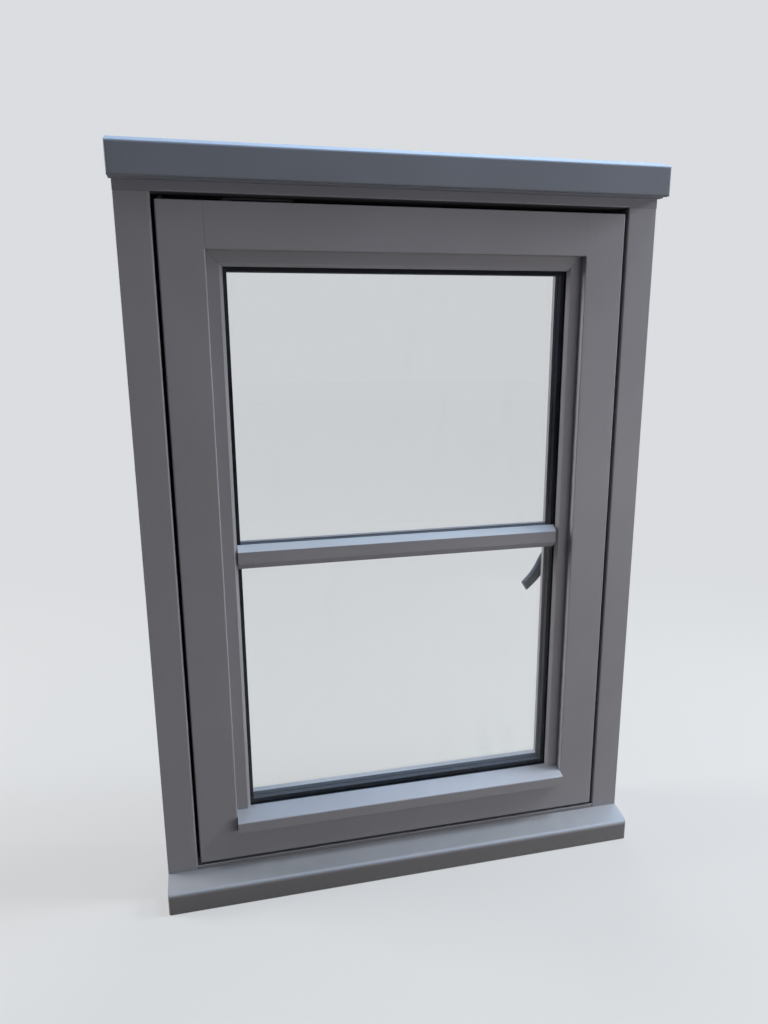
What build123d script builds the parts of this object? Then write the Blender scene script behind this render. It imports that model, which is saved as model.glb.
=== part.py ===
from build123d import *

import math
import os

# Flush casement window: an outer frame with a sill, and one glazed sash that swings outwards.
# X runs to the right seen from outside, Y runs into the room, Z runs up.
# The origin is on the sill's underside, midway along it, in the plane of the outside face.
# The sash hangs at the left on two concealed friction stays and locks at the right.

# Outer frame
FRAME_WIDTH = 630.0
FRAME_HEIGHT = 903.0
FRAME_DEPTH = 94.0
JAMB_FACE = 37.0
HEAD_FACE = 51.2
STOP_OVERLAP = 16.0
STOP_GAP = 4.0
FRAME_ARRIS = 2.0
TENON_THICKNESS = 14.0
TENON_LENGTH = 22.0
TENON_CENTRE_Y = 48.0
TENON_SHOULDER = 6.0

# Sill
SILL_PROJECTION = 33.0
SILL_NOSE_HEIGHT = 27.6
SILL_SLOPE_TOP = 34.6
SILL_PLATFORM = 39.8
SILL_NOSE_RADIUS = 6.0
SILL_END_RADIUS = 4.0
THROAT_RADIUS = 3.0
THROAT_SETBACK = 12.0

# Drip moulding planted on the head
DRIP_PROJECTION = 23.0
DRIP_FACE = 32.3
DRIP_END_OVERHANG = 2.5
DRIP_TOP_RISE = 8.2
DRIP_ARRIS = 3.0
DRIP_END_RADIUS = 2.5

# Sash
SIDE_GAP = 4.0
TOP_GAP = 7.0
BOTTOM_GAP = 3.4
SASH_THICKNESS = 57.0
STILE_FACE = 49.5
TOP_RAIL_FACE = 49.6
BOTTOM_RAIL_FACE = 41.0
SASH_ARRIS = 1.6
BACK_ARRIS = 1.0
ROOM_ARRIS = 2.5
SASH_TENON_THICKNESS = 16.0
SASH_TENON_LENGTH = 28.0
SASH_TENON_CENTRE_Y = 33.0
SASH_TENON_SHOULDER = 10.0

# Glazing
BEAD_RECESS = 10.5
BEAD_THICKNESS = 4.0
BEAD_WIDTH = 17.5
BEAD_BEVEL = 3.6
BEAD_ARRIS = 0.8
TOP_BEAD_NARROWER = 1.0
OUTER_TAPE = 3.0
INNER_TAPE = 1.5
TAPE_SETBACK = 0.6
PANE_THICKNESS = 4.0
CAVITY = 16.0
GLASS_CLEARANCE = 3.5
SPACER_SIGHT = 4.5
SPACER_HEIGHT = 7.0
SPACER_LINE_DEPTH = 0.6
SPACER_LINE_WIDTH = 1.6
SETTING_BLOCK_HEIGHT = 6.0
SETTING_BLOCK_LENGTH = 60.0
SETTING_BLOCK_INSET = 60.0

# Bottom weather bead
WEATHER_BEAD_PROJECTION = 10.0
WEATHER_BEAD_NOSE = 14.4
WEATHER_BEAD_RISE = 8.4
WEATHER_BEAD_ARRIS = 2.0
UPSTAND_ABOVE_BEAD = 1.0

# Glazing bar
BAR_FACE = 14.4
BAR_BEVEL_HEIGHT = 7.8
BAR_END_CLEARANCE = 0.5
INNER_BAR_WIDTH = 25.4
INNER_BAR_DEPTH = 10.0
CAVITY_BAR_CLEARANCE = 1.5

# Weather seal
SEAL_SETBACK = 3.5
SEAL_GROOVE_WIDTH = 2.4
SEAL_GROOVE_DEPTH = 5.0
SEAL_CLEARANCE = 0.8
SEAL_BULB_WIDTH = 5.0
SEAL_BULB_RADIUS = 1.8
SEAL_WALL = 0.8
SEAL_STEM_CLEARANCE = 0.1
SEAL_END_CLEARANCE = 0.4

# Friction stays
STAY_LINE_Y = 28.0
STAY_ARM_REACH = 70.0
STAY_PIVOT_INSET = 5.0
STAY_ARM_WIDTH = 14.0
STAY_ARM_THICKNESS = 2.0
STAY_CLEARANCE = 0.4
TRACK_WIDTH = 20.0
TRACK_DEPTH = 4.4
TRACK_WALL = 1.2
TRACK_SLOT = 9.0
TRACK_END_BEYOND_PIVOT = 20.0
TRACK_END_GAP = 0.6
SHOE_LENGTH = 24.0
SHOE_TAIL = 7.0
SHOE_CLEARANCE = 0.2
SHOE_CORNER = 1.0
STAY_PIN_RADIUS = 3.5
STAY_HEAD_RADIUS = 5.4
STAY_HEAD_THICKNESS = 0.8
STAY_WASHER_CLEARANCE = 0.1
PIN_CLEARANCE = 0.05
STAY_WASHER_RADIUS = 6.5
STAY_PLATE_WIDTH = 16.0
STAY_PLATE_THICKNESS = 2.5
STAY_PLATE_BEYOND_PIN = 34.0
STAY_PLATE_INSET = 1.0
STAY_SCREW_TO_PIN = 14.0
STAY_SCREW_TO_END = 8.0
STAY_MAX_ANGLE = 70.0

# Lock in the edge of the right stile
LOCK_STEP = 9.0
LOCK_LIP = 18.0
LOCK_LINE_Y = 36.0
SPINDLE_INSET = 31.0
SPINDLE_HEIGHT = 402.0
FACEPLATE_WIDTH = 18.0
FACEPLATE_THICKNESS = 2.5
FACEPLATE_BOTTOM = 170.0
FACEPLATE_TOP = 720.0
FACEPLATE_SCREW_TO_END = 12.0
ROD_WIDTH = 8.0
ROD_THICKNESS = 5.4
ROD_END_MARGIN = 16.0
ROD_END_CLEARANCE = 2.0
ROD_SIDE_CLEARANCE = 0.5
CAM_HEIGHTS = (250.0, 640.0)
CAM_NECK_RADIUS = 3.5
CAM_HEAD_RADIUS = 5.5
CAM_NECK_LENGTH = 5.5
CAM_HEAD_THICKNESS = 2.5
CAM_CLEARANCE = 0.5
GEAR_MODULE = 1.5
GEAR_TEETH = 16
GEAR_FACE = 7.0
GEAR_ADDENDUM = 1.2
GEAR_DEDENDUM = 1.6
GEAR_BACKLASH = 0.16
PRESSURE_ANGLE = 20.0
SECTOR_TEETH = 7
CASE_WALL = 1.5
CASE_DEPTH = 16.0
CASE_CLEARANCE = 2.0
HUB_RADIUS = 6.0
BEARING_RADIUS = 5.0
SPINDLE_SIDE = 7.0
HANDLE_CLOSED_ANGLE = 40.0
HANDLE_OPEN_ANGLE = 50.0

# Keeps on the right jamb
KEEP_BASE = 2.5
KEEP_WIDTH = 24.0
KEEP_LENGTH = 62.0
KEEP_HOOK_THICKNESS = 2.4
KEEP_HOOK_LENGTH = 20.0
KEEP_CLEARANCE = 0.6
KEEP_SCREW_TO_END = 7.0

# Handle
ROSE_WIDTH = 22.0
ROSE_HEIGHT = 58.0
ROSE_THICKNESS = 9.0
ROSE_ROUNDING = 2.0
NECK_RADIUS = 7.5
NECK_CLEARANCE = 0.06
LEVER_REACH = 71.0
LEVER_CLEAR = 26.0
LEVER_THICKNESS = 11.0
LEVER_ROOT_WIDTH = 17.0
LEVER_TIP_WIDTH = 12.5
LEVER_ROUNDING = 3.0

# Screws
SCREW_SHANK_RADIUS = 1.7
SCREW_HEAD_RADIUS = 3.4
SCREW_HEAD_DEPTH = 1.7
SCREW_LENGTH = 16.0
SCREW_HEAD_CLEARANCE = 0.2
SCREW_WELL_DEPTH = 4.5
HANDLE_SCREW_SPACING = 43.0

# Working values: how near a point counts as the same place, and how far one solid is
# taken into or past another so that they join or cut cleanly
PLACE_MATCH = 0.001
BITE = 1.0

# Planes and edges that follow from the sizes above
HALF_WIDTH = FRAME_WIDTH / 2
JAMB_INNER = HALF_WIDTH - JAMB_FACE
HEAD_BOTTOM = FRAME_HEIGHT - HEAD_FACE
STOP_FRONT = SASH_THICKNESS + STOP_GAP
SASH_HALF = JAMB_INNER - SIDE_GAP
SASH_TOP = HEAD_BOTTOM - TOP_GAP
SASH_BOTTOM = SILL_PLATFORM + BOTTOM_GAP
STOP_INNER = SASH_HALF - STOP_OVERLAP
STOP_TOP_EDGE = SASH_TOP - STOP_OVERLAP
STOP_BOTTOM_EDGE = SASH_BOTTOM + STOP_OVERLAP
STILE_INNER = SASH_HALF - STILE_FACE
TOP_RAIL_EDGE = SASH_TOP - TOP_RAIL_FACE
BOTTOM_RAIL_EDGE = SASH_BOTTOM + BOTTOM_RAIL_FACE
SIGHT_HALF = STILE_INNER - BEAD_WIDTH
SIGHT_TOP = TOP_RAIL_EDGE - BEAD_WIDTH + TOP_BEAD_NARROWER
GLASS_FRONT = BEAD_RECESS + BEAD_THICKNESS + OUTER_TAPE
CAVITY_FRONT = GLASS_FRONT + PANE_THICKNESS
CAVITY_BACK = CAVITY_FRONT + CAVITY
GLASS_BACK = CAVITY_BACK + PANE_THICKNESS
UPSTAND_FRONT = GLASS_BACK + INNER_TAPE
WEATHER_BEAD_TOP = BOTTOM_RAIL_EDGE + WEATHER_BEAD_NOSE + WEATHER_BEAD_RISE
SIGHT_BOTTOM = WEATHER_BEAD_TOP + UPSTAND_ABOVE_BEAD
GLASS_HALF = STILE_INNER - GLASS_CLEARANCE
GLASS_TOP = TOP_RAIL_EDGE - GLASS_CLEARANCE
GLASS_BOTTOM = BOTTOM_RAIL_EDGE + SETTING_BLOCK_HEIGHT
BAR_CENTRE = (SIGHT_TOP + SIGHT_BOTTOM) / 2
BEAD_BACK = BEAD_RECESS + BEAD_THICKNESS
LOCK_EDGE = SASH_HALF - LOCK_STEP
SPINDLE_X = SASH_HALF - SPINDLE_INSET
PITCH_RADIUS = GEAR_MODULE * GEAR_TEETH / 2
ROD_FRONT = LOCK_EDGE - FACEPLATE_THICKNESS - ROD_SIDE_CLEARANCE
STAY_SHOE_X = -SASH_HALF + STAY_PIVOT_INSET
STAY_ELBOW_X = STAY_SHOE_X + STAY_ARM_REACH
STAY_PIVOT_X = STAY_SHOE_X + 2 * STAY_ARM_REACH


def polygon(corners):
    """Closed face from corners (u, v) or (u, v, radius); a third value rounds that corner."""
    face = make_face(Polyline(*[(c[0], c[1]) for c in corners], close=True))
    for corner in corners:
        if len(corner) > 2:
            near = [v for v in face.vertices() if math.dist((v.X, v.Y), corner[:2]) < PLACE_MATCH]
            face = fillet(near, corner[2])
    return face


def squared(corners):
    """The same corners with none of them rounded."""
    return [corner[:2] for corner in corners]


def along_x(face, x0, x1):
    """Sweeps a face drawn as (Y, Z) from x0 to x1."""
    plane = Plane(origin=(x0, 0, 0), x_dir=(0, 1, 0), z_dir=(1, 0, 0))
    return extrude(plane * face, amount=x1 - x0)


def along_y(face, y0, y1):
    """Sweeps a face drawn as (X, Z) from y0 to y1."""
    plane = Plane(origin=(0, y1, 0), x_dir=(1, 0, 0), z_dir=(0, -1, 0))
    return extrude(plane * face, amount=y1 - y0)


def along_z(face, z0, z1):
    """Sweeps a face drawn as (X, Y) from z0 to z1."""
    plane = Plane(origin=(0, 0, z0), x_dir=(1, 0, 0), z_dir=(0, 0, 1))
    return extrude(plane * face, amount=z1 - z0)


def block(x, y, z):
    """Rectangular block between the (low, high) pairs x, y and z."""
    size = Box(x[1] - x[0], y[1] - y[0], z[1] - z[0])
    return Pos((x[0] + x[1]) / 2, (y[0] + y[1]) / 2, (z[0] + z[1]) / 2) * size


def disc_x(x0, x1, y, z, radius):
    """Round bar along X."""
    return Pos((x0 + x1) / 2, y, z) * Rot(0, 90, 0) * Cylinder(radius, x1 - x0)


def disc_y(y0, y1, x, z, radius):
    """Round bar along Y."""
    return Pos(x, (y0 + y1) / 2, z) * Rot(90, 0, 0) * Cylinder(radius, y1 - y0)


def disc_z(z0, z1, x, y, radius):
    """Round bar along Z between two heights in either order."""
    return Pos(x, y, (z0 + z1) / 2) * Cylinder(radius, abs(z1 - z0))


def span(a, b):
    """A (low, high) pair from two values in either order."""
    return (min(a, b), max(a, b))


def with_round_ends(member, half, front, back, radius):
    """The member with its two front corners rounded as seen from above."""
    plan = [
        (-half, front, radius),
        (half, front, radius),
        (half, back),
        (-half, back),
    ]
    return member & along_z(polygon(plan), 0, FRAME_HEIGHT)


def ring(half, bottom, top, band, y0, y1):
    """Rectangular ring seen from the front, band wide inwards from its outer edge."""
    outer = block((-half, half), (y0, y1), (bottom, top))
    inner = block((-half + band[0], half - band[0]), (y0, y1), (bottom + band[1], top - band[2]))
    return outer - inner


def screw(radius_scale=1.0):
    """Countersunk screw along Z, its flat head at the origin and its shank below."""
    head = SCREW_HEAD_RADIUS * radius_scale
    shank = SCREW_SHANK_RADIUS * radius_scale
    outline = Polyline(
        (0, 0),
        (head, 0),
        (shank, -SCREW_HEAD_DEPTH),
        (shank, -SCREW_LENGTH + shank),
        (0, -SCREW_LENGTH),
        close=True,
    )
    face = make_face(Plane.XZ * outline)
    return revolve(face, Axis.Z)


def screw_hole():
    """Cutter for a screw: the screw grown by a small clearance."""
    return screw(1.0 + PIN_CLEARANCE)


def jamb_tenon(side, z0, z1, grow=0.0):
    """Tenon of a jamb between two heights; grow widens it into its mortise."""
    x0 = side * (HALF_WIDTH - TENON_SHOULDER)
    x1 = side * (JAMB_INNER + TENON_SHOULDER)
    half = TENON_THICKNESS / 2 + grow
    return block(span(x0, x1), (TENON_CENTRE_Y - half, TENON_CENTRE_Y + half), (z0, z1))


def seal_groove_side(side):
    """Upright groove for the weather seal in a jamb's stop."""
    x = side * (STOP_INNER + SEAL_SETBACK)
    half = SEAL_GROOVE_WIDTH / 2
    return block((x - half, x + half), (STOP_FRONT, STOP_FRONT + SEAL_GROOVE_DEPTH), (0, FRAME_HEIGHT))


def seal_groove_level(z):
    """Level groove for the weather seal in the head's or the sill's stop."""
    half = SEAL_GROOVE_WIDTH / 2
    reach = STOP_INNER + SEAL_SETBACK + half
    return block((-reach, reach), (STOP_FRONT, STOP_FRONT + SEAL_GROOVE_DEPTH), (z - half, z + half))


def frame_sill():
    """Sill: sloped weathering, platform for the sash, stop, and housings for the jambs' feet."""
    nose = -SILL_PROJECTION
    base = [
        (nose, 0, BACK_ARRIS),
        (nose, SILL_NOSE_HEIGHT, SILL_NOSE_RADIUS),
        (0, SILL_SLOPE_TOP),
        (FRAME_DEPTH, SILL_SLOPE_TOP),
        (FRAME_DEPTH, 0),
    ]
    sill = along_x(polygon(base), -HALF_WIDTH, HALF_WIDTH)
    sill = with_round_ends(sill, HALF_WIDTH, nose, FRAME_DEPTH, SILL_END_RADIUS)
    platform = [
        (0, SILL_SLOPE_TOP - BITE),
        (0, SILL_PLATFORM, BACK_ARRIS),
        (STOP_FRONT, SILL_PLATFORM),
        (STOP_FRONT, STOP_BOTTOM_EDGE),
        (FRAME_DEPTH, STOP_BOTTOM_EDGE, ROOM_ARRIS),
        (FRAME_DEPTH, SILL_SLOPE_TOP - BITE),
    ]
    front = block((-JAMB_INNER, JAMB_INNER), (-BITE, STOP_FRONT), (0, FRAME_HEIGHT))
    back = block((-STOP_INNER, STOP_INNER), (STOP_FRONT, FRAME_DEPTH + BITE), (0, FRAME_HEIGHT))
    sill += along_x(polygon(platform), -JAMB_INNER, JAMB_INNER) & (front + back)
    throat_y = nose + THROAT_SETBACK
    sill -= disc_x(-HALF_WIDTH - BITE, HALF_WIDTH + BITE, throat_y, 0, THROAT_RADIUS)
    for side in (-1, 1):
        sill -= jamb_tenon(side, SILL_SLOPE_TOP - TENON_LENGTH, SILL_SLOPE_TOP)
    sill -= seal_groove_level(STOP_BOTTOM_EDGE - SEAL_SETBACK)
    sill -= stay_recess(-1)
    for x in track_screw_places():
        sill -= Pos(x, STAY_LINE_Y, SILL_PLATFORM) * track_screw_cutter()
    return sill


def frame_head():
    """Head: full-width member over the jambs, with its stop between them."""
    body = [
        (0, HEAD_BOTTOM, FRAME_ARRIS),
        (0, FRAME_HEIGHT),
        (FRAME_DEPTH, FRAME_HEIGHT),
        (FRAME_DEPTH, HEAD_BOTTOM),
    ]
    head = along_x(polygon(body), -JAMB_INNER, JAMB_INNER)
    for side in (-1, 1):
        head += along_x(polygon(squared(body)), *span(side * JAMB_INNER, side * HALF_WIDTH))
    stop = [
        (STOP_FRONT, HEAD_BOTTOM + BITE),
        (STOP_FRONT, STOP_TOP_EDGE),
        (FRAME_DEPTH, STOP_TOP_EDGE, ROOM_ARRIS),
        (FRAME_DEPTH, HEAD_BOTTOM + BITE),
    ]
    head += along_x(polygon(stop), -STOP_INNER, STOP_INNER)
    for side in (-1, 1):
        head -= jamb_tenon(side, HEAD_BOTTOM, HEAD_BOTTOM + TENON_LENGTH)
    head -= seal_groove_level(STOP_TOP_EDGE + SEAL_SETBACK)
    head -= stay_recess(1)
    for x in track_screw_places():
        head -= Pos(x, STAY_LINE_Y, HEAD_BOTTOM) * Rot(180, 0, 0) * track_screw_cutter()
    return head


def frame_jamb(side):
    """Jamb with its stop, seal groove and a tenon at each end."""
    section = [
        (side * HALF_WIDTH, 0, BACK_ARRIS),
        (side * JAMB_INNER, 0, FRAME_ARRIS),
        (side * JAMB_INNER, STOP_FRONT),
        (side * STOP_INNER, STOP_FRONT),
        (side * STOP_INNER, FRAME_DEPTH, ROOM_ARRIS),
        (side * HALF_WIDTH, FRAME_DEPTH),
    ]
    jamb = along_z(polygon(section), SILL_SLOPE_TOP, HEAD_BOTTOM)
    jamb += jamb_tenon(side, SILL_SLOPE_TOP - TENON_LENGTH, SILL_SLOPE_TOP)
    jamb += jamb_tenon(side, HEAD_BOTTOM, HEAD_BOTTOM + TENON_LENGTH)
    jamb -= seal_groove_side(side)
    jamb -= seal_groove_level(STOP_BOTTOM_EDGE - SEAL_SETBACK)
    jamb -= seal_groove_level(STOP_TOP_EDGE + SEAL_SETBACK)
    if side > 0:
        for z in CAM_HEIGHTS:
            for hole_z in keep_screw_heights(z):
                place = Pos(JAMB_INNER - KEEP_BASE, LOCK_LINE_Y, hole_z)
                jamb -= place * Rot(0, -90, 0) * screw_hole()
    return jamb


def head_drip():
    """Drip moulding: sloped top, tall flat face, grooved underside and overhanging ends."""
    top = FRAME_HEIGHT - DRIP_TOP_RISE
    bottom = top - DRIP_FACE
    section = [
        (0, bottom),
        (-DRIP_PROJECTION, bottom, DRIP_ARRIS / 2),
        (-DRIP_PROJECTION, top, DRIP_ARRIS),
        (0, FRAME_HEIGHT),
    ]
    end = HALF_WIDTH + DRIP_END_OVERHANG
    drip = along_x(polygon(section), -end, end)
    drip = with_round_ends(drip, end, -DRIP_PROJECTION, 0, DRIP_END_RADIUS)
    groove_y = -DRIP_PROJECTION / 2
    return drip - disc_x(-end - BITE, end + BITE, groove_y, bottom, THROAT_RADIUS)


def seal_section():
    """Weather seal's section: a stem for the groove and a hollow bulb that meets the sash."""
    reach = STOP_GAP - SEAL_CLEARANCE
    half = SEAL_BULB_WIDTH / 2
    radius = SEAL_BULB_RADIUS
    bulb = polygon([(-half, 0), (-half, reach, radius), (half, reach, radius), (half, 0)])
    inner = reach - SEAL_WALL
    radius -= SEAL_WALL
    hollow = polygon(
        [
            (-half + SEAL_WALL, SEAL_WALL),
            (-half + SEAL_WALL, inner, radius),
            (half - SEAL_WALL, inner, radius),
            (half - SEAL_WALL, SEAL_WALL),
        ]
    )
    stem_half = SEAL_GROOVE_WIDTH / 2 - SEAL_STEM_CLEARANCE
    depth = SEAL_GROOVE_DEPTH - SEAL_END_CLEARANCE
    root = SEAL_WALL / 2
    stem = polygon([(-stem_half, root), (-stem_half, -depth), (stem_half, -depth), (stem_half, root)])
    return bulb - hollow + stem


def seal_run(length):
    """Length of seal along X with mitred ends: its stem points to +Y and its outside to +Z."""
    half = length / 2
    plane = Plane(origin=(-half, 0, 0), x_dir=(0, 0, 1), z_dir=(1, 0, 0))
    run = extrude(plane * seal_section(), amount=length)
    reach = SEAL_BULB_WIDTH
    outline = [(-half, 0), (-half + reach, -reach), (half - reach, -reach), (half, 0)]
    outer = [(half + reach, reach), (-half - reach, reach)]
    return run & along_y(polygon(outline + outer), -STOP_GAP, SEAL_GROOVE_DEPTH)


def weather_seals():
    """Four mitred lengths of seal round the stop."""
    x = STOP_INNER + SEAL_SETBACK
    low = STOP_BOTTOM_EDGE - SEAL_SETBACK
    high = STOP_TOP_EDGE + SEAL_SETBACK
    middle = (low + high) / 2
    level = seal_run(2 * x)
    upright = seal_run(high - low)
    return {
        "seal_head": Pos(0, STOP_FRONT, high) * level,
        "seal_sill": Pos(0, STOP_FRONT, low) * Rot(0, 180, 0) * level,
        "seal_hinge_side": Pos(-x, STOP_FRONT, middle) * Rot(0, -90, 0) * upright,
        "seal_lock_side": Pos(x, STOP_FRONT, middle) * Rot(0, 90, 0) * upright,
    }


def facing(direction):
    """Turn that points a screw's head up (1) or down (-1)."""
    return Rot(0, 0, 0) if direction > 0 else Rot(180, 0, 0)


def stay_face(level):
    """Height of the frame face that carries a stay: the head above (1), the sill below (-1)."""
    return HEAD_BOTTOM if level > 0 else SILL_PLATFORM


def sash_face(level):
    """Height of the sash edge that carries a stay: top (1) or bottom (-1)."""
    return SASH_TOP if level > 0 else SASH_BOTTOM


def track_span():
    """Ends of a stay's track along X."""
    return (-JAMB_INNER + TRACK_END_GAP, STAY_PIVOT_X + TRACK_END_BEYOND_PIVOT)


def stay_recess(level):
    """Recess for a stay's track in the head or the sill."""
    face = stay_face(level)
    half = TRACK_WIDTH / 2
    x = (-JAMB_INNER, track_span()[1])
    return block(x, (STAY_LINE_Y - half, STAY_LINE_Y + half), span(face, face + level * TRACK_DEPTH))


def shoe_travel():
    """Distance that a shoe slides along its track."""
    return 2 * STAY_ARM_REACH * (1 - math.cos(math.radians(STAY_MAX_ANGLE)))


def track_screw_places():
    """Places along X of the screws that hold a track."""
    low, high = track_span()
    return [high - STAY_SCREW_TO_END, STAY_PIVOT_X - STAY_SCREW_TO_PIN, low + STAY_SCREW_TO_END]


def track_screw_cutter():
    """Cutter for a track's screw, its head sunk to the track's floor."""
    return Pos(0, 0, -TRACK_DEPTH + TRACK_WALL) * screw_hole()


def stay_track(level):
    """Track let into the frame: a lipped channel for the shoe, a solid end and the arm's pin."""
    face = stay_face(level)
    low, high = track_span()
    half = TRACK_WIDTH / 2
    back = face + level * TRACK_DEPTH
    body = block((low, high), (STAY_LINE_Y - half, STAY_LINE_Y + half), span(face, back))
    channel = (low - BITE, STAY_SHOE_X + shoe_travel() + SHOE_LENGTH)
    floor = back - level * TRACK_WALL
    inner_y = (STAY_LINE_Y - half + TRACK_WALL, STAY_LINE_Y + half - TRACK_WALL)
    body -= block(channel, inner_y, span(face + level * TRACK_WALL, floor))
    slot_y = (STAY_LINE_Y - TRACK_SLOT / 2, STAY_LINE_Y + TRACK_SLOT / 2)
    body -= block(channel, slot_y, span(face - level * BITE, floor))
    well = SCREW_HEAD_RADIUS + SCREW_HEAD_CLEARANCE
    for x in track_screw_places():
        body -= Pos(x, STAY_LINE_Y, face) * facing(-level) * track_screw_cutter()
        body -= disc_z(face - level * BITE, floor, x, STAY_LINE_Y, well)
    under = face - level * STAY_CLEARANCE
    tip = under - level * STAY_ARM_THICKNESS
    sunk = tip + level * STAY_HEAD_THICKNESS
    washer = under + level * STAY_WASHER_CLEARANCE
    body += disc_z(face + level * BITE, sunk, STAY_PIVOT_X, STAY_LINE_Y, STAY_PIN_RADIUS)
    body += disc_z(sunk, tip, STAY_PIVOT_X, STAY_LINE_Y, STAY_HEAD_RADIUS)
    body += disc_z(face + level * BITE, washer, STAY_PIVOT_X, STAY_LINE_Y, STAY_WASHER_RADIUS)
    return body


def stay_arm(level):
    """Flat arm with round ends and a countersunk eye for each pin."""
    face = stay_face(level)
    near = face - level * STAY_CLEARANCE
    far = near - level * STAY_ARM_THICKNESS
    centre = (STAY_PIVOT_X + STAY_ELBOW_X) / 2
    slot = SlotCenterToCenter(STAY_ARM_REACH, STAY_ARM_WIDTH)
    low, high = span(near, far)
    arm = along_z(Pos(centre, STAY_LINE_Y) * slot, low, high)
    eye = STAY_PIN_RADIUS + PIN_CLEARANCE
    sink = STAY_HEAD_RADIUS + PIN_CLEARANCE
    depth = STAY_HEAD_THICKNESS + PIN_CLEARANCE
    for x in (STAY_PIVOT_X, STAY_ELBOW_X):
        arm -= disc_z(near + level * BITE, far - level * BITE, x, STAY_LINE_Y, eye)
    arm -= disc_z(far - level * BITE, far + level * depth, STAY_PIVOT_X, STAY_LINE_Y, sink)
    arm -= disc_z(near + level * BITE, near - level * depth, STAY_ELBOW_X, STAY_LINE_Y, sink)
    return arm


def plate_span():
    """Ends of a stay's sash plate along X."""
    return (-SASH_HALF + STAY_PLATE_INSET, STAY_ELBOW_X + STAY_PLATE_BEYOND_PIN)


def plate_blank(level):
    """Space of a stay's plate, let in flush with the sash's top or bottom edge."""
    face = sash_face(level)
    half = STAY_PLATE_WIDTH / 2
    y = (STAY_LINE_Y - half, STAY_LINE_Y + half)
    return block(plate_span(), y, span(face, face - level * STAY_PLATE_THICKNESS))


def plate_screw_places():
    """Places along X of the screws that hold a sash plate."""
    low, high = plate_span()
    beside_pins = [STAY_ELBOW_X + STAY_SCREW_TO_PIN, STAY_SHOE_X + STAY_SCREW_TO_PIN]
    return [high - STAY_SCREW_TO_END] + beside_pins


def stay_plate(level):
    """Sash plate let into the sash's edge, with the pins for the arm and for the shoe."""
    face = sash_face(level)
    frame_face = stay_face(level)
    plate = plate_blank(level)
    for x in plate_screw_places():
        plate -= Pos(x, STAY_LINE_Y, face) * facing(level) * screw_hole()
    root = face - level * BITE
    arm_near = frame_face - level * STAY_CLEARANCE
    arm_far = arm_near - level * STAY_ARM_THICKNESS
    washer = arm_far - level * STAY_WASHER_CLEARANCE
    sunk = arm_near - level * STAY_HEAD_THICKNESS
    plate += disc_z(root, washer, STAY_ELBOW_X, STAY_LINE_Y, STAY_WASHER_RADIUS)
    plate += disc_z(root, sunk, STAY_ELBOW_X, STAY_LINE_Y, STAY_PIN_RADIUS)
    plate += disc_z(sunk, arm_near, STAY_ELBOW_X, STAY_LINE_Y, STAY_HEAD_RADIUS)
    shoe_far = frame_face + level * (TRACK_DEPTH - TRACK_WALL - SHOE_CLEARANCE)
    plate += disc_z(root, shoe_far, STAY_SHOE_X, STAY_LINE_Y, STAY_PIN_RADIUS)
    return plate


def stay_shoe(level):
    """Sliding shoe inside the track: a wide head under the lips and a neck in the slot."""
    face = stay_face(level)
    x = (STAY_SHOE_X - SHOE_TAIL, STAY_SHOE_X - SHOE_TAIL + SHOE_LENGTH)
    half = TRACK_WIDTH / 2 - TRACK_WALL - SHOE_CLEARANCE
    near = face + level * (TRACK_WALL + SHOE_CLEARANCE)
    far = face + level * (TRACK_DEPTH - TRACK_WALL - SHOE_CLEARANCE)
    shoe = block(x, (STAY_LINE_Y - half, STAY_LINE_Y + half), span(near, far))
    neck = TRACK_SLOT / 2 - SHOE_CLEARANCE
    middle = (near + far) / 2
    shoe += block(x, (STAY_LINE_Y - neck, STAY_LINE_Y + neck), span(face, middle))
    shoe = fillet(shoe.edges().filter_by(Axis.Z), SHOE_CORNER)
    eye = STAY_PIN_RADIUS + PIN_CLEARANCE
    return shoe - disc_z(face - level * BITE, far + level * BITE, STAY_SHOE_X, STAY_LINE_Y, eye)


def sash_tenon(side, z0, z1):
    """Tenon of a rail into a stile."""
    half = SASH_TENON_THICKNESS / 2
    x = span(side * (STILE_INNER - BITE), side * (STILE_INNER + SASH_TENON_LENGTH))
    return block(x, (SASH_TENON_CENTRE_Y - half, SASH_TENON_CENTRE_Y + half), (z0, z1))


def rail_tenon_heights():
    """Heights of the top and the bottom rail's tenons."""
    top = (TOP_RAIL_EDGE + SASH_TENON_SHOULDER, SASH_TOP - SASH_TENON_SHOULDER)
    bottom = (SASH_BOTTOM + SASH_TENON_SHOULDER, BOTTOM_RAIL_EDGE - SASH_TENON_SHOULDER / 2)
    return top, bottom


def stile_blank(side, section):
    """Full-height stile with its mortises and the recesses for the stay plates."""
    stile = along_z(polygon(section), SASH_BOTTOM, SASH_TOP)
    inner = side * STILE_INNER
    flush = [c[:2] if abs(c[0] - inner) < PLACE_MATCH and c[1] == 0 else c for c in section]
    stile += along_z(polygon(flush), SASH_BOTTOM, BOTTOM_RAIL_EDGE)
    stile += along_z(polygon(flush), TOP_RAIL_EDGE, SASH_TOP)
    front = [e for e in stile.edges().filter_by(Axis.X) if abs(e.center().Y) < PLACE_MATCH]
    ends = [e for e in front if not SASH_BOTTOM + BITE < e.center().Z < SASH_TOP - BITE]
    stile = fillet(ends, SASH_ARRIS)
    for z0, z1 in rail_tenon_heights():
        stile -= sash_tenon(side, z0, z1)
    return stile


def sash_stile_hinge():
    """Left stile: plain edge, rebate for the glass and an upstand on the room side."""
    section = [
        (-SASH_HALF, 0, SASH_ARRIS),
        (-STILE_INNER, 0, SASH_ARRIS),
        (-STILE_INNER, UPSTAND_FRONT),
        (-SIGHT_HALF, UPSTAND_FRONT),
        (-SIGHT_HALF, SASH_THICKNESS, ROOM_ARRIS),
        (-SASH_HALF, SASH_THICKNESS, BACK_ARRIS),
    ]
    stile = stile_blank(-1, section)
    return cut_for_plates(stile)


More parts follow.
